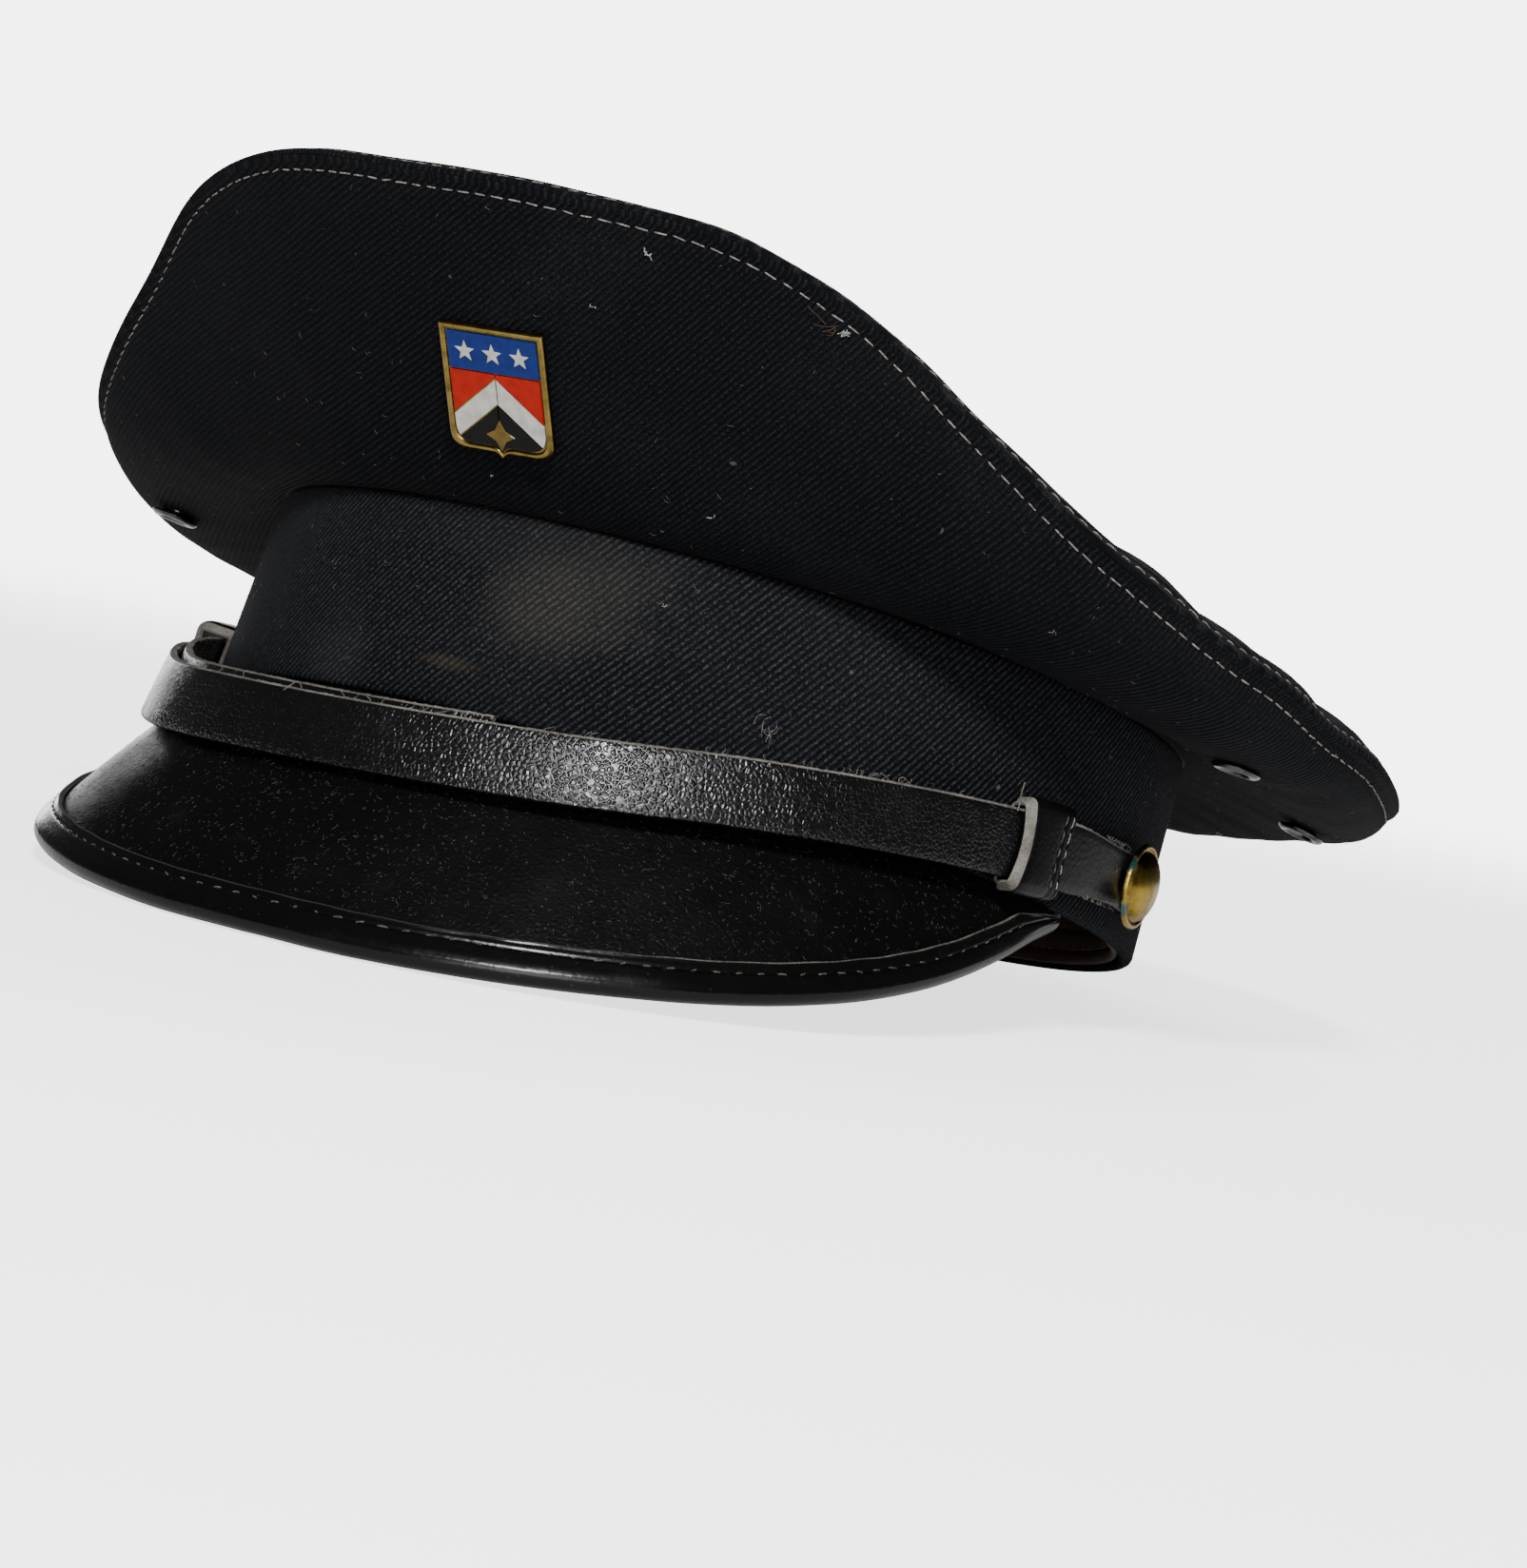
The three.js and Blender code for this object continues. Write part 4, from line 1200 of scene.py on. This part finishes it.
# Enamels in the order in which the cells number them
RED, BLUE, WHITE, BLACK, OCHRE = range(5)
ENAMELS = [
    ("enamel_red", (0.30, 0.006, 0.0005), (0.22, 0.004, 0.0004)),
    ("enamel_blue", (0.005, 0.016, 0.120), (0.003, 0.011, 0.085)),
    ("enamel_white", (0.42, 0.41, 0.38), (0.30, 0.29, 0.26)),
    ("enamel_black", (0.0012, 0.001, 0.001), (0.0025, 0.002, 0.0016)),
    ("enamel_ochre", (0.12, 0.078, 0.015), (0.07, 0.045, 0.008)),
]


def shield(inset):
    wide = BADGE_WIDTH / 2 - inset
    top = BADGE_HEIGHT / 2 - inset
    tip = 1.2
    low = -BADGE_HEIGHT / 2 + tip + inset
    corner = 3.2
    points = [(-wide, y) for y in np.linspace(top, low + corner, 8)]

    def bend(a, b, c):
        for t in np.linspace(0, 1, 8)[1:]:
            x = (1 - t) ** 2 * a[0] + 2 * t * (1 - t) * b[0] + t * t * c[0]
            y = (1 - t) ** 2 * a[1] + 2 * t * (1 - t) * b[1] + t * t * c[1]
            points.append((x, y))

    bend((-wide, low + corner), (-wide, low), (corner - wide, low))
    points.append((-2.2, low))
    bend((-2.2, low), (-0.6, low), (0.0, low - tip))
    right = [(-x, y) for x, y in points[::-1]]
    return np.array(points + right[1:])


# A function that places an outline on the badge's plane, so high above it
def badge_frame():
    aside = math.degrees(BADGE_ASIDE / edge_radius(0.0))
    at, out, up = side_surface(aside, BADGE_ALONG, GAP)
    x = np.cross(up, out)
    y = up * math.cos(BADGE_TURN) - x * math.sin(BADGE_TURN)
    x = x * math.cos(BADGE_TURN) + up * math.sin(BADGE_TURN)

    def point(outline, height):
        return at + outline[:, :1] * x + outline[:, 1:] * y + out * height

    return point


# The part of a polygon on the side of a line where across * x + up * y is at least a limit
def clipped(polygon, across, up, limit):
    made = []
    values = [across * x + up * y - limit for x, y in polygon]
    for k, (a, va) in enumerate(zip(polygon, values)):
        b, vb = polygon[(k + 1) % len(polygon)], values[(k + 1) % len(polygon)]
        if va >= 0:
            made.append(tuple(a))
        if (va >= 0) != (vb >= 0):
            t = va / (va - vb)
            made.append((a[0] + (b[0] - a[0]) * t, a[1] + (b[1] - a[1]) * t))
    return made


def star(x, y, size, rays, narrow):
    points = []
    for k in range(2 * rays):
        radius = size if k % 2 == 0 else size * narrow
        turn = math.pi / 2 - k * math.pi / rays
        points.append((x + radius * math.cos(turn), y + radius * math.sin(turn)))
    return points


# The enamel cells: outline, enamel, how far each stands above the others. Red above the chevron,
# a white chevron, a black base and a blue chief, with stars on the chief and the base.
def badge_cells():
    field = [tuple(p) for p in shield(CELL_INSET)]
    chief = BADGE_HEIGHT / 2 - CELL_INSET - CHIEF
    apex = chief - APEX_DROP
    gap = LINE_WIDTH
    below = clipped(field, 0, -1, gap - chief)
    cells = [(clipped(field, 0, 1, chief), BLUE, 0.0)]
    for side in (-1, 1):
        half = clipped(below, side, 0, gap / 2)
        cells.append((clipped(half, side * ROOF, 1, apex + gap), RED, 0.0))
        arm = clipped(half, -side * ROOF, -1, -apex)
        cells.append((clipped(arm, side * ROOF, 1, apex - CHEVRON), WHITE, 0.0))
        cells.append((clipped(half, -side * ROOF, -1, CHEVRON + gap - apex), BLACK, 0.0))
    for x in (-5.4, 0.0, 5.4):
        cells.append((star(x, chief + 3.5, 2.0, 5, 0.42), WHITE, 0.12))
    cells.append((star(0.0, apex - CHEVRON - 6.0, 2.9, 4, 0.5), OCHRE, 0.12))
    return cells


def badge():
    point = badge_frame()
    rings = [point(shield(inset), height) for inset, height in BADGE_RIM]
    faces = ring_faces(len(rings), len(rings[0]))
    gilt = metal("badge_gilt", (0.27, 0.19, 0.05), (0.13, 0.088, 0.02), 0.24)
    plate = build("badge_plate_gilt", np.concatenate(rings), faces, [gilt], 50)
    finish_piece(plate, "badge_metal", "badge_plate")
    solids, slots = [], []
    for outline, color, lift in badge_cells():
        outline = np.array(outline)
        middle = outline.mean(0)
        arms = outline - middle
        bevel = 1 - 0.12 / np.abs(arms).max()
        # A cell's rings: scale and height
        layers = [(1.0, PLATE + 0.02), (1.0, PLATE + 0.26 + lift), (bevel, PLATE + 0.34 + lift)]
        points = [point(middle + arms * scale, height) for scale, height in layers]
        own = ring_faces(len(layers), len(outline))
        if np.cross(arms, np.roll(outline, -1, 0) - middle).sum() < 0:
            own = [face[::-1] for face in own]
        solids.append((np.concatenate(points), own))
        slots += [color] * len(own)
    enamels = [enamel(*row) for row in ENAMELS]
    made = build("badge_enamel_cells", *joined(solids), enamels, 30, slots=slots)
    finish_piece(made, "badge_enamel", "badge_enamel")


# Lint and loose threads: places a little above the crown's side and the band, with the directions
# outward and up there
def side_spot(angle, share):
    return side_surface(angle, share, 0.1)


def band_spot(angle, height):
    a = np.array([angle], float)
    return band_point(a, height, 0.1)[0], band_outward(a)[0], np.array([0.0, 0.0, 1.0])


# Tangles of a few strands: where (angle, share or height), how many strands, size, kind
TANGLES = [
    (side_spot, 16.2, 0.91, 9, 0.9, "white"), (side_spot, 31.9, 0.94, 16, 0.8, "white"),
    (side_spot, 30.9, 0.93, 5, 4.0, "rust"), (side_spot, 12.6, 0.75, 2, 0.7, "white"),
    (side_spot, 26.7, 0.28, 2, 0.9, "white"), (side_spot, 1.8, 0.23, 1, 0.9, "white"),
    (side_spot, 58.0, 0.6, 2, 1.2, "dust"), (band_spot, 39.2, 11.0, 9, 3.0, "dust"),
    (band_spot, 61.0, 9.0, 4, 2.4, "dust"), (band_spot, 76.0, 8.0, 5, 2.4, "dust"),
    (band_spot, 24.0, 27.0, 2, 1.0, "white"), (side_spot, -100.0, 0.5, 3, 1.6, "white"),
    (band_spot, -120.0, 20.0, 5, 2.6, "dust"), (band_spot, 165.0, 17.0, 4, 2.6, "dust"),
    (side_spot, 150.0, 0.6, 3, 1.6, "white"),
]
LOOSE_LINT = 700
LINT = {"white": lint_white, "dust": lint_dust, "rust": lint_rust}


def lint():
    source = np.random.default_rng(81)
    groups = {word: ([], []) for word in LINT}

    def strand(spot, angle, place_at, size, lift, word, radius):
        at, out, up = spot(angle, place_at)
        side = np.cross(up, out)
        turn = source.uniform(0, 2 * math.pi)
        bend = source.normal() * 1.6
        where = source.normal(size=2) * size * 0.25
        line = []
        for k in range(5):
            rise = lift * abs(source.normal()) * math.sin(math.pi * k / 4)
            line.append(at + side * where[0] + up * where[1] + out * rise)
            spin = turn + bend * k / 4
            where = where + size / 4 * np.array([math.cos(spin), math.sin(spin)])
        groups[word][0].append(line)
        groups[word][1].append(radius)

    for spot, angle, place_at, count, size, word in TANGLES:
        thin, thick = (0.03, 0.05) if word == "rust" else (0.05, 0.1)
        for _ in range(count):
            radius = source.uniform(thin, thick)
            strand(spot, angle, place_at, size * source.uniform(0.5, 1.2), 0.4, word, radius)
    for _ in range(LOOSE_LINT):
        angle = source.uniform(-180, 180)
        size = source.uniform(0.3, 1.2)
        on_side = source.uniform() < 0.5
        spot, low, high = (side_spot, 0.08, 0.97) if on_side else (band_spot, 5, 34)
        strand(spot, angle, source.uniform(low, high), size, 0.12, "dust", 0.035)
    for word, (lines, radii) in groups.items():
        finish_piece(strands(f"lint_{word}_strands", lines, radii, LINT[word]), "cloth")


HALF_STRAP = STRAP_WIDTH / 2
# Where the strap's edges are frayed: from and to which angle, how far up the edge lies, how many
FRAYS = [
    (46, 56, HALF_STRAP, 9),
    (86, 93, HALF_STRAP * 0.83, 24),
    (84, 92, -HALF_STRAP * 0.83, 30),
    (-30, 70, HALF_STRAP, 30),
]


# Frayed fibres along the strap's edges, and two thread ends: one that stands up by the left keeper
# and one at the front
def frays():
    source = np.random.default_rng(91)
    lines, radii = [], []

    def at(angle, up, proud):
        point, _ = strap_frame(np.array([angle], float), "outer")
        return point(up, proud)[0]

    for start, stop, edge, count in FRAYS:
        outward = math.copysign(1.0, edge)
        for _ in range(count):
            angle = source.uniform(start, stop)
            line = [at(angle, edge - 0.1 * outward, 0.6)]
            for k in range(1, 4):
                angle += source.normal() * 0.35
                line.append(at(angle, edge + outward * 0.3 * k, 0.6 + 0.25 * source.normal()))
            lines.append(line)
            radii.append(source.uniform(0.05, 0.09))
    lines.append([
        at(67.5, HALF_STRAP - 1 + k * 1.3, 3.0 + 0.15 * math.sin(2 * k)) for k in range(5)
    ])
    lines.append([
        at(-11.5 + 0.15 * k, HALF_STRAP - 1.2 + k * 0.7, 1.2 - 0.3 * k) for k in range(4)
    ])
    radii += [0.14, 0.13]
    finish_piece(strands("strap_frays", lines, radii, lint_dust), "strap_leather")


for make in (crown_side, crown_top, band, sweatband, peak, peak_binding, peak_dust):
    make()
strap_layer("strap_outer_leather", "outer", -75, 102, "strap_outer", 91)
strap_layer("strap_inner_leather", "inner", -102, 12, "strap_inner")
keeper("keeper_left_leather", 73, 1, "keeper_left", -1)
keeper("keeper_right_leather", -71, 2, "keeper_right", 1)
for make in (buttons, eyelets, badge, lint, frays):
    make()

# Floor: a pale disc that fades out to the background's brightness
FLOOR_RADIUS = 1.3
FLOOR_SIDES = 96


def floor():
    look = Look("floor")
    seen = look.add("LightPath", {}, "Is Camera Ray")
    length = look.vectors("LENGTH", look.at, output="Value")
    values = {
        "Base Color": (0.86, 0.86, 0.86),
        "Roughness": 0.9,
        "Emission Color": (1, 1, 1),
        "Emission Strength": look.times(seen, 2.0),
        "Alpha": look.maths("SUBTRACT", 1.0, look.step(length, 0.5, 1.1)),
    }
    for key, value in values.items():
        look.put(value, look.shader.inputs[key])
    mesh = bpy.data.meshes.new("floor")
    turns = np.arange(FLOOR_SIDES) * 2 * math.pi / FLOOR_SIDES
    points = [(FLOOR_RADIUS * math.cos(v), FLOOR_RADIUS * math.sin(v), 0.0) for v in turns]
    mesh.from_pydata(points, [], [list(range(FLOOR_SIDES))])
    mesh.materials.append(look.material)
    made = bpy.data.objects.new("floor", mesh)
    bpy.context.scene.collection.objects.link(made)


# Lights: name, place, aim, size in metres, power in watts
LIGHTS = [
    ("key", (0.60, -1.13, 1.02), (0, 0, 0.06), 0.3, 37),
    ("fill", (0.66, -1.12, 0.22), (0, 0, 0.06), 0.7, 9.5),
    ("behind_left", (-1.05, 1.33, 0.2), (0, 0, 0.04), 1.0, 18),
    ("behind_high", (0.05, 1.25, 1.40), (0, 0, 0.06), 0.9, 18),
]


def light(name, at, target, size, power):
    data = bpy.data.lights.new(name, "AREA")
    data.shape = "DISK"
    data.size = size
    data.energy = power
    made = bpy.data.objects.new(name, data)
    made.visible_camera = False
    bpy.context.scene.collection.objects.link(made)
    away = unit(np.array(at) - np.array(target))
    side = unit(np.cross([0.0, 0.0, 1.0], away))
    up = np.cross(away, side)
    turn = Matrix([list(side), list(up), list(away)]).transposed().to_4x4()
    made.matrix_world = Matrix.Translation(at) @ turn


floor()
for row in LIGHTS:
    light(*row)

# The background is bright for the camera and dim as a light
BACKGROUND = 5.6
BACKGROUND_LIGHT = 0.07
world = bpy.data.worlds.new("studio")
bpy.context.scene.world = world
studio = Nodes(world)
seen = studio.add("LightPath", {}, "Is Camera Ray")
strength = studio.add("MapRange", {0: seen, 3: BACKGROUND_LIGHT, 4: BACKGROUND})
background = studio.tree.nodes["Background"]
studio.put((1, 1, 1), background.inputs["Color"])
studio.put(strength, background.inputs["Strength"])

# The camera's place in metres and its turns in degrees, as in the photograph
CAMERA_AT = (0.499994, -0.857828, 0.099243)
CAMERA_TURNS = (86.096455, -10.522940, 30.125689)
CAMERA_LENS = 121.218
camera_data = bpy.data.cameras.new("camera")
camera_data.lens = CAMERA_LENS
camera = bpy.data.objects.new("camera", camera_data)
bpy.context.scene.collection.objects.link(camera)
turn = Euler([math.radians(v) for v in CAMERA_TURNS])
camera.matrix_world = Matrix.LocRotScale(CAMERA_AT, turn, None)
bpy.context.scene.camera = camera
